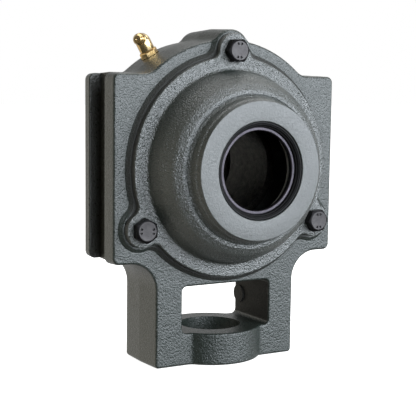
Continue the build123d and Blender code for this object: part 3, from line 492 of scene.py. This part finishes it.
def newTree(name, inputs):
    # a Geometry Nodes tree with named inputs; returns the tree, its input node and its output node
    tree = bpy.data.node_groups.new(name, "GeometryNodeTree")
    tree.interface.new_socket("Geometry", in_out="INPUT", socket_type="NodeSocketGeometry")
    tree.interface.new_socket("Geometry", in_out="OUTPUT", socket_type="NodeSocketGeometry")
    for label, kind in inputs.items():
        tree.interface.new_socket(label, in_out="INPUT", socket_type=kind)
    return tree, addNode(tree, "NodeGroupInput"), addNode(tree, "NodeGroupOutput")


def grow(carrier, tree, values, name):
    # runs a tree on an object and returns the plain mesh object that it makes
    modifier = carrier.modifiers.new("grow", "NODES")
    modifier.node_group = tree
    for item in tree.interface.items_tree:
        if item.in_out == "INPUT" and item.name in values:
            modifier[item.identifier] = values[item.name]
    evaluated = carrier.evaluated_get(bpy.context.evaluated_depsgraph_get())
    mesh = bpy.data.meshes.new_from_object(evaluated)
    mesh.name = name
    carrier.modifiers.remove(modifier)
    bpy.data.objects.remove(carrier)
    thing = bpy.data.objects.new(name, mesh)
    bpy.context.scene.collection.objects.link(thing)
    return thing


# Covers: sand cast iron, turned only at the hub's end. A flange with three bolt lobes, a round
# dome with a narrow crown, a fine groove, and a hub with one small step. The skins are corners of
# radius, distance in front of the middle plane, and the round on that corner.
castCovers = {
    "boltCircleMm": 52.7,
    "boltAngles": (90.0, 210.0, 330.0),
    "holeMm": 3.3,
    "drillMm": 9.0,
    "drillAround": 48,
    "flangeRadiusMm": 50.3,
    "lobeRadiusMm": 8.0,
    "lobeBlendMm": 4.0,
    "seatMm": 17.0,
    "seatChamferMm": 0.25,
    "faceMm": 20.0,
    "edgeRoundMm": 0.7,
    "underside": ((41.15, 14.8, 0.3), (43.95, 14.8, 0.3), (43.95, 17.0, 0), (45.4, 17.0, 0),
                  (45.4, 18.4, 0), (47.4, 18.4, 0), (47.4, 17.0, 0)),
    "outside": ((48.6, 20.0, 0), (43.9, 20.0, 1.8), (42.1, 27.2, 6.0), (38.6, 33.6, 6.0), (35.3, 35.95, 1.2),
                (33.7, 36.15, 0.12), (33.45, 35.75, 0.12), (33.1, 36.1, 0.2), (32.1, 37.1, 0.9),
                (31.6, 40.2, 0.3), (31.05, 40.8, 0.25), (30.8, 43.5, 0.45)),
    "openInside": ((21.7, 43.5, 0.5), (21.7, 36.0, 0.2), (19.6, 36.0, 0.2), (19.6, 34.0, 0.2),
                   (30.0, 34.0, 1.2), (31.2, 32.7, 0.8), (34.6, 32.4, 2.0), (38.9, 27.0, 4.0),
                   (40.0, 21.5, 2.0), (41.15, 19.0, 1.0)),
    "closedEnd": ((0, 43.5, 0),),
    "closedInside": ((0, 39.9, 0), (28.4, 39.9, 1.5), (28.4, 33.6, 0.8), (31.2, 32.7, 0.8),
                     (34.6, 32.4, 2.0), (38.9, 27.0, 4.0), (40.0, 21.5, 2.0), (41.15, 19.0, 1.0)),
    "aroundThird": 104,
    "outlineSteps": 4000,
    "arcSteps": 6,
    "mergeMm": 0.002,
    "sharpDegrees": 38.0,
}


def roundedPath(corners, steps):
    # a path through corners, each turned into an arc of its own round
    path = []
    for i, (r, away, size) in enumerate(corners):
        corner = Vector((r, away))
        if not size or i == 0 or i == len(corners) - 1:
            path.append(corner)
            continue
        before, after = (Vector(corners[i + k][:2]) - corner for k in (-1, 1))
        half = before.angle(after) / 2
        reach = size / math.tan(half)
        middle = corner + (before.normalized() + after.normalized()).normalized() * size / math.sin(half)
        first = corner + before.normalized() * reach - middle
        last = corner + after.normalized() * reach - middle
        whole = first.angle_signed(last)
        path += [middle + Matrix.Rotation(-whole * k / steps, 2) @ first for k in range(steps + 1)]
    return path


def flangeRadius():
    # a function for the flange's radius, by the angle from a lobe: lobe, hollow blend, then disc
    c = castCovers
    disc, circle, lobe, blend = c["flangeRadiusMm"], c["boltCircleMm"], c["lobeRadiusMm"], c["lobeBlendMm"]
    far = disc + blend
    swing = math.acos((far ** 2 + circle ** 2 - (lobe + blend) ** 2) / (2 * far * circle))
    lobeMiddle, blendMiddle = Vector((circle, 0)), Vector((far * math.cos(swing), far * math.sin(swing)))
    ends = lobeMiddle + (blendMiddle - lobeMiddle) * (lobe / (lobe + blend))
    lobeEnd = math.atan2(ends.y, ends.x)

    def radiusAt(turn):
        turn = abs(turn)
        if turn < lobeEnd:
            return circle * math.cos(turn) + math.sqrt(max(lobe ** 2 - (circle * math.sin(turn)) ** 2, 0))
        if turn < swing:
            aside = max(blend ** 2 - (far * math.sin(turn - swing)) ** 2, 0)
            return far * math.cos(turn - swing) - math.sqrt(aside)
        return disc
    return radiusAt


def flangeOutline():
    # the flange's edge as points and outward normals, evenly spaced along it
    c, radiusAt = castCovers, flangeRadius()
    steps, count = c["outlineSteps"], c["aroundThird"]
    line = []
    for k in range(steps + 1):
        turn = math.radians(-60 + 120 * k / steps)
        line.append(Vector((math.cos(turn), math.sin(turn))) * radiusAt(turn))
    lengths = [0.0]
    for one, two in zip(line, line[1:]):
        lengths.append(lengths[-1] + (two - one).length)
    third, k = [], 0
    for i in range(count):
        want = lengths[-1] * (i + 0.5) / count
        while lengths[k + 1] < want:
            k += 1
        tangent = (line[k + 1] - line[k]).normalized()
        share = (want - lengths[k]) / (lengths[k + 1] - lengths[k])
        third.append((line[k].lerp(line[k + 1], share), Vector((tangent.y, -tangent.x))))
    turns = [Matrix.Rotation(math.radians(angle), 2) for angle in c["boltAngles"]]
    return [(turn @ point, turn @ normal) for turn in turns for point, normal in third]


def buildCover(name, isOpen):
    c, outline = castCovers, flangeOutline()
    angles = [math.atan2(point.y, point.x) for point, _ in outline]
    seat, face, size = c["seatMm"], c["faceMm"], c["edgeRoundMm"]

    def turnedRings(corners, steps):
        rings = []
        for r, away in roundedPath(corners, steps):
            around = angles if r else angles[:1]
            rings.append([Vector((r * math.cos(a), -away, r * math.sin(a))) for a in around])
        return rings

    def edgeRing(inset, away):
        return [Vector((point.x - normal.x * inset, -away, point.y - normal.y * inset))
                for point, normal in outline]

    flange = turnedRings(c["underside"], 3)
    flange += [edgeRing(c["seatChamferMm"], seat), edgeRing(0.0, seat + c["seatChamferMm"])]
    for k in range(5):
        lift = math.radians(22.5 * k)
        flange.append(edgeRing(size * (1 - math.cos(lift)), face - size * (1 - math.sin(lift))))
    if isOpen:
        whole = c["outside"] + c["openInside"] + c["underside"][:1]
        rings = flange + turnedRings(whole, c["arcSteps"])
    else:
        # a closed skin from the hollow's middle, out over the flange and back over the end
        hollow = turnedRings(c["closedInside"] + c["underside"][:1], c["arcSteps"])
        rings = hollow[:-1] + flange + turnedRings(c["outside"] + c["closedEnd"], c["arcSteps"])
    skin = merged(skinThrough(rings), c["mergeMm"])
    if not isOpen:
        bmesh.ops.rotate(skin, verts=skin.verts, matrix=Matrix.Rotation(math.pi, 3, "Z"))
    cover = asObject(name, skin, c["sharpDegrees"])
    for angle in c["boltAngles"]:
        a, reach, hole = math.radians(angle), c["drillMm"], c["holeMm"]
        drill = turnedSkin(((0, -reach), (hole, -reach), (hole, reach), (0, reach)), c["drillAround"])
        place = Vector((c["boltCircleMm"] * math.cos(a), -face, c["boltCircleMm"] * math.sin(a)))
        drillObject = asObject("drill", placed(drill, place, Vector((0, -1, 0)), Vector((1, 0, 0))), 30.0)
        if not isOpen:
            drillObject.data.transform(Matrix.Rotation(math.pi, 4, "Z"))
        carved(cover, drillObject, "DIFFERENCE")
    return afterCarving(cover, name, c["sharpDegrees"], coverEnamel)


for name, node, isOpen in (("cover_front_casting", "cover_front", True),
                           ("cover_back_casting", "cover_back", False)):
    casting = buildCover(name, isOpen)
    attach(casting, "housing")
    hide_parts(node)
    print(name, "made:", len(casting.data.polygons), "faces")

# Cover bolts: M6 hexagon heads, forged and blackened, three on each cover. The head has a
# chamfered rim, a washer face and four small dimples in its top; the shank carries the thread.
coverBolts = {
    "circleRadiusMm": 52.7,
    "faceDistanceMm": 20.0,
    "firstAngleDegrees": 90.0,
    "firstTurnDegrees": 2.0,
    "secondTurnDegrees": 91.0,
    "thirdTurnDegrees": 4.0,
    "flatsMm": 10.0,
    "cornerMm": 0.12,
    "headHeightMm": 4.0,
    "faceRadiusMm": 4.3,
    "chamferDegrees": 30.0,
    "washerMm": (4.75, 0.3),
    "shankMm": (2.95, 14.0),
    "plainMm": 3.0,
    "pitchMm": 1.0,
    "threadDepthMm": 0.45,
    "dotRadiusMm": 0.42,
    "dotCircleMm": 3.05,
    "dotAngleDegrees": 86.0,
    "dotSpreadDegrees": 16.8,
    # share of the dimple's radius, and height over the head's top
    "dotShape": ((0, -0.3), (0.6, -0.26), (1.0, -0.07), (1.1, 0.2), (0, 0.2)),
    "dotAround": 14,
    "around": 72,
}
# the lengths and angles among them that the tree below takes in
boltLengths = ("circleRadius", "faceDistance", "headHeight", "dotCircle")
boltTurns = ("dotAngle", "dotSpread", "firstAngle", "firstTurn", "secondTurn", "thirdTurn")


def boltBlank(name):
    b, around = coverBolts, coverBolts["around"]
    top, face, pitch = b["headHeightMm"], b["faceRadiusMm"], b["pitchMm"]
    hexOuter = hexagon(b["flatsMm"], b["cornerMm"])
    fall = math.tan(math.radians(b["chamferDegrees"]))

    def chamferRing(inset, lower):
        # the rim where the cone meets the flats: low at the corners, high between them
        ring = []
        for i in range(around):
            angle = 2 * math.pi * i / around
            r = hexOuter(angle)
            ring.append(Vector(((r - inset) * math.cos(angle), (r - inset) * math.sin(angle),
                                top - (r - inset - face) * fall - lower)))
        return ring

    # the top is dished a little inside its rim
    crown = ((0, 0.07), (face * 0.55, 0.07), (face * 0.86, 0.03), (face * 0.93, 0), (face - 0.1, 0),
             (face + 0.04, 0.05))
    rings = [ringOf(r, top - drop, around) for r, drop in crown]
    rings += [chamferRing(0.1, 0.0), chamferRing(0.0, 0.09)]
    washer, thick = b["washerMm"]
    rings += [ringOf(hexOuter, thick + 0.5, around), ringOf(hexOuter, thick + 0.06, around),
              ringOf(hexagon(b["flatsMm"] - 0.16, b["cornerMm"]), thick, around),
              ringOf(washer, thick, around), ringOf(washer, 0.0, around)]
    radius, length = b["shankMm"]
    depth = b["plainMm"]
    rings += [ringOf(radius, 0.0, around), ringOf(radius, -depth, around)]
    while depth + pitch < length - 0.8:
        rings += [ringOf(radius - b["threadDepthMm"], -depth - 0.3 * pitch, around),
                  ringOf(radius, -depth - 0.8 * pitch, around), ringOf(radius, -depth - pitch, around)]
        depth += pitch
    rings += [ringOf(radius - 0.7, -length, around), ringOf(0, -length, around)]
    return asObject(name, skinThrough(rings), 28.0)


def dotBlank(name):
    # the shape of one small round dimple in the bolt's top
    b = coverBolts
    outline = [(share * b["dotRadiusMm"], height) for share, height in b["dotShape"]]
    return asObject(name, turnedSkin(outline, b["dotAround"]), 60.0)


def placeOnCircle(tree, angle, radius):
    # the two parts of a place on a circle
    parts = []
    for kind in ("COSINE", "SINE"):
        share = addNode(tree, "ShaderNodeMath", {"operation": kind}, {0: angle})
        parts.append(addNode(tree, "ShaderNodeMath", multiply, {0: share, 1: radius}))
    return parts


def boltTree():
    tree, given, result = newTree("boltsOnCircle", {
        **dict.fromkeys(boltLengths + boltTurns, "NodeSocketFloat"), "bolt": "NodeSocketObject",
        "dot": "NodeSocketObject", "boltFinish": "NodeSocketMaterial"})
    sock = given.outputs
    # four dimples in the head, two by two, opposite each other
    index = addNode(tree, "GeometryNodeInputIndex").outputs[0]
    halved = addNode(tree, "ShaderNodeMath", {"operation": "DIVIDE"}, {0: index, 1: 2.0})
    pair = addNode(tree, "ShaderNodeMath", {"operation": "FLOOR"}, {0: halved})
    side = addNode(tree, "ShaderNodeMath", {"operation": "FLOORED_MODULO"}, {0: index, 1: 2.0})
    swing = addNode(tree, "ShaderNodeMath", multiplyAdd, {0: side, 1: 2.0, 2: -1.0})
    lean = addNode(tree, "ShaderNodeMath", multiply, {0: swing, 1: sock["dotSpread"]})
    base = addNode(tree, "ShaderNodeMath", multiplyAdd, {0: pair, 1: math.pi, 2: sock["dotAngle"]})
    angle = addNode(tree, "ShaderNodeMath", {"operation": "ADD"}, {0: base, 1: lean})
    dotX, dotY = placeOnCircle(tree, angle, sock["dotCircle"])
    dotPlace = addNode(tree, "ShaderNodeCombineXYZ", None, {0: dotX, 1: dotY, 2: sock["headHeight"]})
    dotPoints = addNode(tree, "GeometryNodePoints", None, {"Count": 4, "Position": dotPlace})
    dotInfo = addNode(tree, "GeometryNodeObjectInfo", {"transform_space": "ORIGINAL"}, {
        "Object": sock["dot"], "As Instance": True})
    dots = addNode(tree, "GeometryNodeInstanceOnPoints", None, {
        "Points": dotPoints, "Instance": dotInfo.outputs["Geometry"]})
    stamps = addNode(tree, "GeometryNodeRealizeInstances", None, {0: dots})
    boltInfo = addNode(tree, "GeometryNodeObjectInfo", {"transform_space": "ORIGINAL"}, {
        "Object": sock["bolt"], "As Instance": False})
    dimpled = addNode(tree, "GeometryNodeMeshBoolean", {"operation": "DIFFERENCE", "solver": "EXACT"}, {
        "Mesh 1": boltInfo.outputs["Geometry"], "Mesh 2": stamps})
    whole = addNode(tree, "GeometryNodeSetMaterial", None, {
        "Geometry": dimpled, "Material": sock["boltFinish"]})
    # three of them on the circle, each turned its own way
    around = addNode(tree, "ShaderNodeMath", multiplyAdd, {
        0: index, 1: 2 * math.pi / 3, 2: sock["firstAngle"]})
    x, z = placeOnCircle(tree, around, sock["circleRadius"])
    forward = addNode(tree, "ShaderNodeMath", multiply, {0: sock["faceDistance"], 1: -1.0})
    centre = addNode(tree, "ShaderNodeCombineXYZ", None, {0: x, 1: forward, 2: z})
    points = addNode(tree, "GeometryNodePoints", None, {"Count": 3, "Position": centre})
    turns = addNode(tree, "GeometryNodeIndexSwitch", {"data_type": "FLOAT"})
    turns.index_switch_items.new()
    sources = (index, sock["firstTurn"], sock["secondTurn"], sock["thirdTurn"])
    for socket, source in zip(list(turns.inputs), sources):
        tree.links.new(source, socket)
    spin = addNode(tree, "ShaderNodeCombineXYZ", None, {2: turns})
    standing = addNode(tree, "GeometryNodeInstanceOnPoints", None, {
        "Points": points, "Instance": whole, "Rotation": (math.pi / 2, 0.0, 0.0)})
    turned = addNode(tree, "GeometryNodeRotateInstances", None, {"Instances": standing, "Rotation": spin})
    front = addNode(tree, "GeometryNodeRealizeInstances", None, {0: turned})
    # and three more on the back cover
    back = addNode(tree, "GeometryNodeTransform", None, {"Geometry": front, "Rotation": (0.0, 0.0, math.pi)})
    both = addNode(tree, "GeometryNodeJoinGeometry")
    tree.links.new(front.outputs[0], both.inputs[0])
    tree.links.new(back.outputs[0], both.inputs[0])
    tree.links.new(both.outputs[0], result.inputs[0])
    return tree


bolt, dot = boltBlank("boltBlank"), dotBlank("dotBlank")
carrier = bpy.data.objects.new("boltCarrier", bpy.data.meshes.new("boltCarrier"))
bpy.context.scene.collection.objects.link(carrier)
boltSet = grow(carrier, boltTree(), {
    **{name: coverBolts[name + "Mm"] * mm for name in boltLengths},
    **{name: math.radians(coverBolts[name + "Degrees"]) for name in boltTurns},
    "bolt": bolt,
    "dot": dot,
    "boltFinish": steel["blackenedSteel"],
}, "cover_bolts")
for blank in (bolt, dot):
    bpy.data.objects.remove(blank)
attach(boltSet, "housing")
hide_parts(*[f"bolt_{side}_{number}" for side in ("front", "back") for number in (1, 2, 3)])
print("cover bolts made:", len(boltSet.data.polygons), "faces")

# Shaft seal: moulded rubber pressed into the hub, a dished face with round beads down to its lip.
shaftSeal = {
    "outerMm": 21.65,
    "rimMm": 0.9,
    "faceMm": 43.0,
    "backMm": 36.05,
    "lipMm": 17.7,
    "lipLengthMm": 1.4,
    "ringOuterMm": 19.2,
    "ringTopMm": 40.9,
    "ledgeMm": 39.9,
    "leadMm": 0.25,
    "edgeMm": 0.2,
    "lipEdgeMm": 0.15,
    "beads": 2,
    "beadRadiusMm": 0.24,
    "beadSteps": 12,
    "mergeMm": 0.001,
    "around": 144,
}


def sealBlank(name):
    s = shaftSeal
    outer, back, face, rim = s["outerMm"], s["backMm"], s["faceMm"], s["outerMm"] - s["rimMm"]
    ring, ringTop, ledge, lip = s["ringOuterMm"], s["ringTopMm"], s["ledgeMm"], s["lipMm"]
    lead, edge, lipEdge = s["leadMm"], s["edgeMm"], s["lipEdgeMm"]
    outline = [(outer - lead, back), (outer, back + lead), (outer, face - edge), (outer - edge, face),
               (rim + edge, face), (rim, face - lipEdge), (ring + 0.12, ringTop + 0.35),
               (ring, ringTop + 0.1), (ring, ledge), (lip + lipEdge, ledge), (lip, ledge - lipEdge),
               (lip, ledge - s["lipLengthMm"]), (ring, back)]
    angles = [2 * math.pi * i / s["around"] for i in range(s["around"])]
    rings = [[Vector((r * math.cos(a), -away, r * math.sin(a))) for a in angles]
             for r, away in outline + outline[:1]]
    return asObject(name, merged(skinThrough(rings), s["mergeMm"]), 50.0)


def beadTree():
    lengths = ("innerRadius", "outerRadius", "innerDistance", "outerDistance", "beadRadius")
    tree, given, result = newTree("sealBeads", {
        "count": "NodeSocketInt", **dict.fromkeys(lengths, "NodeSocketFloat"),
        "rubber": "NodeSocketMaterial"})
    sock = given.outputs
    # circles spaced evenly down the dished face
    index = addNode(tree, "GeometryNodeInputIndex").outputs[0]
    half = addNode(tree, "ShaderNodeMath", {"operation": "ADD"}, {0: index, 1: 0.5})
    share = addNode(tree, "ShaderNodeMath", {"operation": "DIVIDE"}, {0: half, 1: sock["count"]})
    radius = addNode(tree, "ShaderNodeMapRange", None, {
        "Value": share, "To Min": sock["innerRadius"], "To Max": sock["outerRadius"]})
    away = addNode(tree, "ShaderNodeMapRange", None, {
        "Value": share, "To Min": sock["innerDistance"], "To Max": sock["outerDistance"]})
    back = addNode(tree, "ShaderNodeMath", multiply, {0: away, 1: -1.0})
    place = addNode(tree, "ShaderNodeCombineXYZ", None, {1: back})
    points = addNode(tree, "GeometryNodePoints", None, {"Count": sock["count"], "Position": place})
    circle = addNode(tree, "GeometryNodeCurvePrimitiveCircle", {"mode": "RADIUS"}, {
        "Resolution": shaftSeal["around"], "Radius": 1.0})
    scale = addNode(tree, "ShaderNodeCombineXYZ", None, {0: radius, 1: radius, 2: 1.0})
    rings = addNode(tree, "GeometryNodeInstanceOnPoints", None, {
        "Points": points, "Instance": circle, "Rotation": (math.pi / 2, 0.0, 0.0), "Scale": scale})
    paths = addNode(tree, "GeometryNodeRealizeInstances", None, {0: rings})
    # a round section of even thickness along each
    evenPaths = addNode(tree, "GeometryNodeSetCurveRadius", None, {"Curve": paths, "Radius": 1.0})
    section = addNode(tree, "GeometryNodeCurvePrimitiveCircle", {"mode": "RADIUS"}, {
        "Resolution": shaftSeal["beadSteps"], "Radius": sock["beadRadius"]})
    beads = addNode(tree, "GeometryNodeCurveToMesh", None, {"Curve": evenPaths, "Profile Curve": section})
    soft = addNode(tree, "GeometryNodeSetShadeSmooth", None, {0: beads})
    joined = addNode(tree, "GeometryNodeJoinGeometry")
    tree.links.new(sock["Geometry"], joined.inputs[0])
    tree.links.new(soft.outputs[0], joined.inputs[0])
    finished = addNode(tree, "GeometryNodeSetMaterial", None, {
        "Geometry": joined, "Material": sock["rubber"]})
    tree.links.new(finished.outputs[0], result.inputs[0])
    return tree


sealPiece = grow(sealBlank("sealBlank"), beadTree(), {
    "count": shaftSeal["beads"],
    "innerRadius": (shaftSeal["ringOuterMm"] + 0.15) * mm,
    "outerRadius": (shaftSeal["outerMm"] - shaftSeal["rimMm"]) * mm,
    "innerDistance": (shaftSeal["ringTopMm"] + 0.2) * mm,
    "outerDistance": (shaftSeal["faceMm"] - 0.15) * mm,
    "beadRadius": shaftSeal["beadRadiusMm"] * mm,
    "rubber": nitrileRubber,
}, "shaft_seal_moulding")
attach(sealPiece, "housing")
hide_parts("shaft_seal")
print("shaft seal made:", len(sealPiece.data.polygons), "faces")

# Grease nipple: M6 elbow, turned and pressed from free cutting steel, yellow passivated.
greaseNipple = {
    "angleDegrees": 30.0,
    "behindMm": 7.5,
    "seatMm": 57.7,
    "threadMm": (2.95, 6.5, 1.0),
    "threadDepthMm": 0.4,
    "hexFlatsMm": 7.6,
    "hexHeightMm": 3.0,
    "cornerMm": 0.1,
    "stemRadiusMm": 3.5,
    "stemLengthMm": 5.9,
    # the elbow's top is pressed round, flatter than a ball: where it starts, its rise and its fullness
    "topMm": (1.6, 3.9),
    "topFullness": 0.8,
    "topSteps": 10,
    "bendDegrees": 73.0,
    "turnDegrees": 46.0,
    # the nozzle and its bore, as radius and distance from the bend
    "nozzleMm": ((0, -0.5), (2.8, -0.5), (2.8, 2.7), (2.65, 2.9), (1.95, 3.1), (1.8, 3.3), (1.8, 3.55),
                 (1.95, 3.75), (2.4, 4.1), (2.6, 4.3), (2.65, 4.5), (2.55, 4.75), (1.95, 5.85),
                 (1.85, 6.05), (1.7, 6.15), (0, 6.15)),
    "boreMm": ((0, 0.4), (1.1, 0.4), (1.1, 4.8), (0.62, 5.3), (0.62, 5.95), (0.8, 6.2), (0.9, 6.6), (0, 6.6)),
    "boreAround": 48,
    "around": 72,
}


def nippleAxes():
    # outwards from the shaft, leftwards round the body, and the way the nozzle points
    g = greaseNipple
    a, b, t = (math.radians(g[k]) for k in ("angleDegrees", "bendDegrees", "turnDegrees"))
    outward = Vector((-math.sin(a), 0, math.cos(a)))
    leftward = Vector((-math.cos(a), 0, -math.sin(a)))
    sideward = outward.cross(leftward)
    muzzle = (leftward * (math.sin(b) * math.cos(t)) + sideward * (math.sin(b) * math.sin(t))
              + outward * math.cos(b))
    return outward, leftward, muzzle


def nippleStem():
    # thread, hexagon and stem up to the elbow's round top, along Z from the seat
    g, around = greaseNipple, greaseNipple["around"]
    stem, hexHeight, flats, corner = g["stemRadiusMm"], g["hexHeightMm"], g["hexFlatsMm"], g["cornerMm"]
    radius, length, pitch = g["threadMm"]
    rings = [ringOf(0, -length, around), ringOf(radius - 0.6, -length, around)]
    level = -length + 0.5
    while level + pitch < -0.6:
        rings += [ringOf(radius, level, around), ringOf(radius, level + 0.2 * pitch, around),
                  ringOf(radius - g["threadDepthMm"], level + 0.7 * pitch, around)]
        level += pitch
    hexOuter = hexagon(flats, corner)
    rings += [ringOf(radius - 0.3, -0.3, around), ringOf(radius - 0.3, 0.0, around),
              ringOf(hexagon(flats - 0.5, corner), 0.0, around), ringOf(hexOuter, 0.22, around),
              ringOf(hexOuter, hexHeight - 0.3, around),
              ringOf(hexagon(flats - 0.45, corner), hexHeight, around),
              ringOf(stem - 0.12, hexHeight, around), ringOf(stem - 0.05, hexHeight + 0.25, around)]
    below, rise = g["topMm"]
    start, steps = hexHeight + g["stemLengthMm"] - below, g["topSteps"]
    rings += [ringOf(stem, hexHeight + 0.5, around), ringOf(stem, start, around)]
    for step in range(1, steps + 1):
        lift = math.radians(90 / steps * step)
        r = stem * math.cos(lift) ** g["topFullness"] if step < steps else 0
        rings.append(ringOf(r, start + rise * math.sin(lift), around))
    return skinThrough(rings)


def buildNipple(name):
    g = greaseNipple
    outward, leftward, muzzle = nippleAxes()
    base = outward * g["seatMm"] + Vector((0, g["behindMm"], 0))
    bend = base + outward * (g["hexHeightMm"] + g["stemLengthMm"])
    hexTurn = Matrix.Rotation(math.radians(g["turnDegrees"]), 3, outward)
    body = asObject(name, placed(nippleStem(), base, outward, hexTurn @ leftward), 30.0)
    nozzle = placed(turnedSkin(g["nozzleMm"], g["around"]), bend, muzzle, outward)
    carved(body, asObject("nozzleBlank", nozzle, 30.0), "UNION")
    bore = placed(turnedSkin(g["boreMm"], g["boreAround"]), bend, muzzle, outward)
    carved(body, asObject("boreBlank", bore), "DIFFERENCE")
    return afterCarving(body, name, 28.0, steel["yellowZinc"])


nipple = buildNipple("grease_nipple_elbow")
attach(nipple, "housing")
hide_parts("nipple_body")
print("grease nipple made:", len(nipple.data.polygons), "faces")

# Camera, fitted to the photograph's own lines: the rails, the window, the hub's circles and the bolts.
camera = {
    "eyeMm": (-257.6943, -438.0372, 36.4947),
    "right": (0.86393, -0.503465, 0.012158),
    "up": (0.045765, 0.102526, 0.993677),
    "focalPixels": 1080.39,
    "imagePixels": 416,
    "sensorMm": 36.0,
    "nearest": 0.01,
}
cameraData = bpy.data.cameras.new("camera")
cameraData.sensor_width = camera["sensorMm"]
cameraData.lens = camera["focalPixels"] / camera["imagePixels"] * camera["sensorMm"]
cameraData.clip_start = camera["nearest"]
cameraObject = bpy.data.objects.new("camera", cameraData)
right, up = Vector(camera["right"]).normalized(), Vector(camera["up"]).normalized()
turn = Matrix((right, up, right.cross(up))).transposed().to_4x4()
cameraObject.matrix_world = Matrix.Translation(Vector(camera["eyeMm"]) * mm) @ turn
bpy.context.scene.collection.objects.link(cameraObject)
bpy.context.scene.camera = cameraObject

# Studio: a white room for the camera. What the object reflects is dim in front and overhead, and
# bright behind, most of all at the left. The spans say where in a direction each change happens.
studio = {
    "white": "FFFFFF",
    "warmWhite": "F1ECDD",
    "frontLeft": 0.10,
    "frontRight": 0.25,
    "frontSpan": (-0.7, 0.8),
    "backLeft": 1.0,
    "backRight": 0.60,
    "backSpan": (-0.45, 0.3),
    "depthSpan": (-0.32, 0.3),
    "roomTop": 0.22,
    "topSpan": (0.1, 0.95),
    "warmSpan": (0.1, -0.5),
    "floorTone": "F4F4F2",
    "floorSize": 12.0,
    "floorRoughness": 0.9,
    "floorGlow": 0.9,
}
softBoxes = {
    # name: (place, aimed at, width, height, watts, colour)
    "keyFront": ((0.24, -1.37, 0.26), (0, 0, -0.01), 1.5, 1.1, 28.8, "F0F7FF"),
    "sideRight": ((1.15, -0.95, 0.2), (0, 0, 0), 0.9, 1.0, 16.0, "F0F7FF"),
    "topBox": ((0.5, 0.25, 1.15), (0, 0, 0), 1.4, 1.0, 10.0, "FFFFFF"),
}
for name, (place, aim, width, height, watts, tint) in softBoxes.items():
    light = bpy.data.lights.new(name, "AREA")
    light.color = linearColour(tint)[:3]
    light.shape, light.size, light.size_y, light.energy = "RECTANGLE", width, height, watts
    lamp = bpy.data.objects.new(name, light)
    lamp.location = place
    lamp.rotation_mode = "QUATERNION"
    lamp.rotation_quaternion = (Vector(aim) - Vector(place)).to_track_quat("-Z", "Y")
    bpy.context.scene.collection.objects.link(lamp)


def lightRoom():
    # the world: what the object mirrors by direction, and plain white for the camera
    s = studio
    room = bpy.data.worlds.new("room")
    bpy.context.scene.world = room
    room.use_nodes = True
    tree = room.node_tree
    tree.nodes.clear()
    direction = addNode(tree, "ShaderNodeTexCoord").outputs["Generated"]
    x, y, z = addNode(tree, "ShaderNodeSeparateXYZ", None, {"Vector": direction}).outputs
    ahead = addNode(tree, "ShaderNodeMapRange", smoothStep, {
        "Value": x, "From Min": s["frontSpan"][0], "From Max": s["frontSpan"][1], "To Min": s["frontLeft"],
        "To Max": s["frontRight"]})
    behind = addNode(tree, "ShaderNodeMapRange", smoothStep, {
        "Value": x, "From Min": s["backSpan"][0], "From Max": s["backSpan"][1], "To Min": s["backLeft"],
        "To Max": s["backRight"]})
    backward = addNode(tree, "ShaderNodeMapRange", smoothStep, {
        "Value": y, "From Min": s["depthSpan"][0], "From Max": s["depthSpan"][1]})
    sideways = addNode(tree, "ShaderNodeMix", numberMix, {"Factor": backward, 2: ahead, 3: behind})
    upward = addNode(tree, "ShaderNodeMapRange", smoothStep, {
        "Value": z, "From Min": s["topSpan"][0], "From Max": s["topSpan"][1]})
    lifted = addNode(tree, "ShaderNodeMix", numberMix, {"Factor": upward, 2: sideways, 3: s["roomTop"]})
    leftward = addNode(tree, "ShaderNodeMapRange", None, {
        "Value": x, "From Min": s["warmSpan"][0], "From Max": s["warmSpan"][1]})
    warm = addNode(tree, "ShaderNodeMix", colourMix, {
        "Factor": leftward, 6: linearColour(s["white"]), 7: linearColour(s["warmWhite"])})
    seen = addNode(tree, "ShaderNodeLightPath").outputs["Is Camera Ray"]
    strength = addNode(tree, "ShaderNodeMix", numberMix, {"Factor": seen, 2: lifted, 3: 1.0})
    plain = addNode(tree, "ShaderNodeMix", colourMix, {
        "Factor": seen, 6: warm.outputs[2], 7: linearColour(s["white"])})
    light = addNode(tree, "ShaderNodeBackground", None, {"Color": plain.outputs[2], "Strength": strength})
    addNode(tree, "ShaderNodeOutputWorld", None, {"Surface": light})


def layFloor():
    # a plain pale sheet of paper that adds nothing to the object's reflections
    half, level = studio["floorSize"] / 2, cadBox[0][2]
    mesh = bpy.data.meshes.new("studio_floor")
    corners = [(-half, -half, level), (half, -half, level), (half, half, level), (-half, half, level)]
    mesh.from_pydata(corners, [], [(0, 1, 2, 3)])
    floor = bpy.data.objects.new("studio_floor", mesh)
    bpy.context.scene.collection.objects.link(floor)
    paper, tree, _ = startMaterial("whitePaper")
    shader = addNode(tree, "ShaderNodeBsdfPrincipled", None, {
        "Base Color": linearColour(studio["floorTone"]), "Roughness": studio["floorRoughness"],
        "Emission Color": linearColour(studio["white"]), "Emission Strength": studio["floorGlow"]})
    finishMaterial(tree, shader)
    mesh.materials.append(paper)
    floor.visible_glossy = floor.visible_diffuse = False


lightRoom()
layFloor()
bpy.context.scene.view_settings.view_transform = "Standard"
print("camera and studio set")
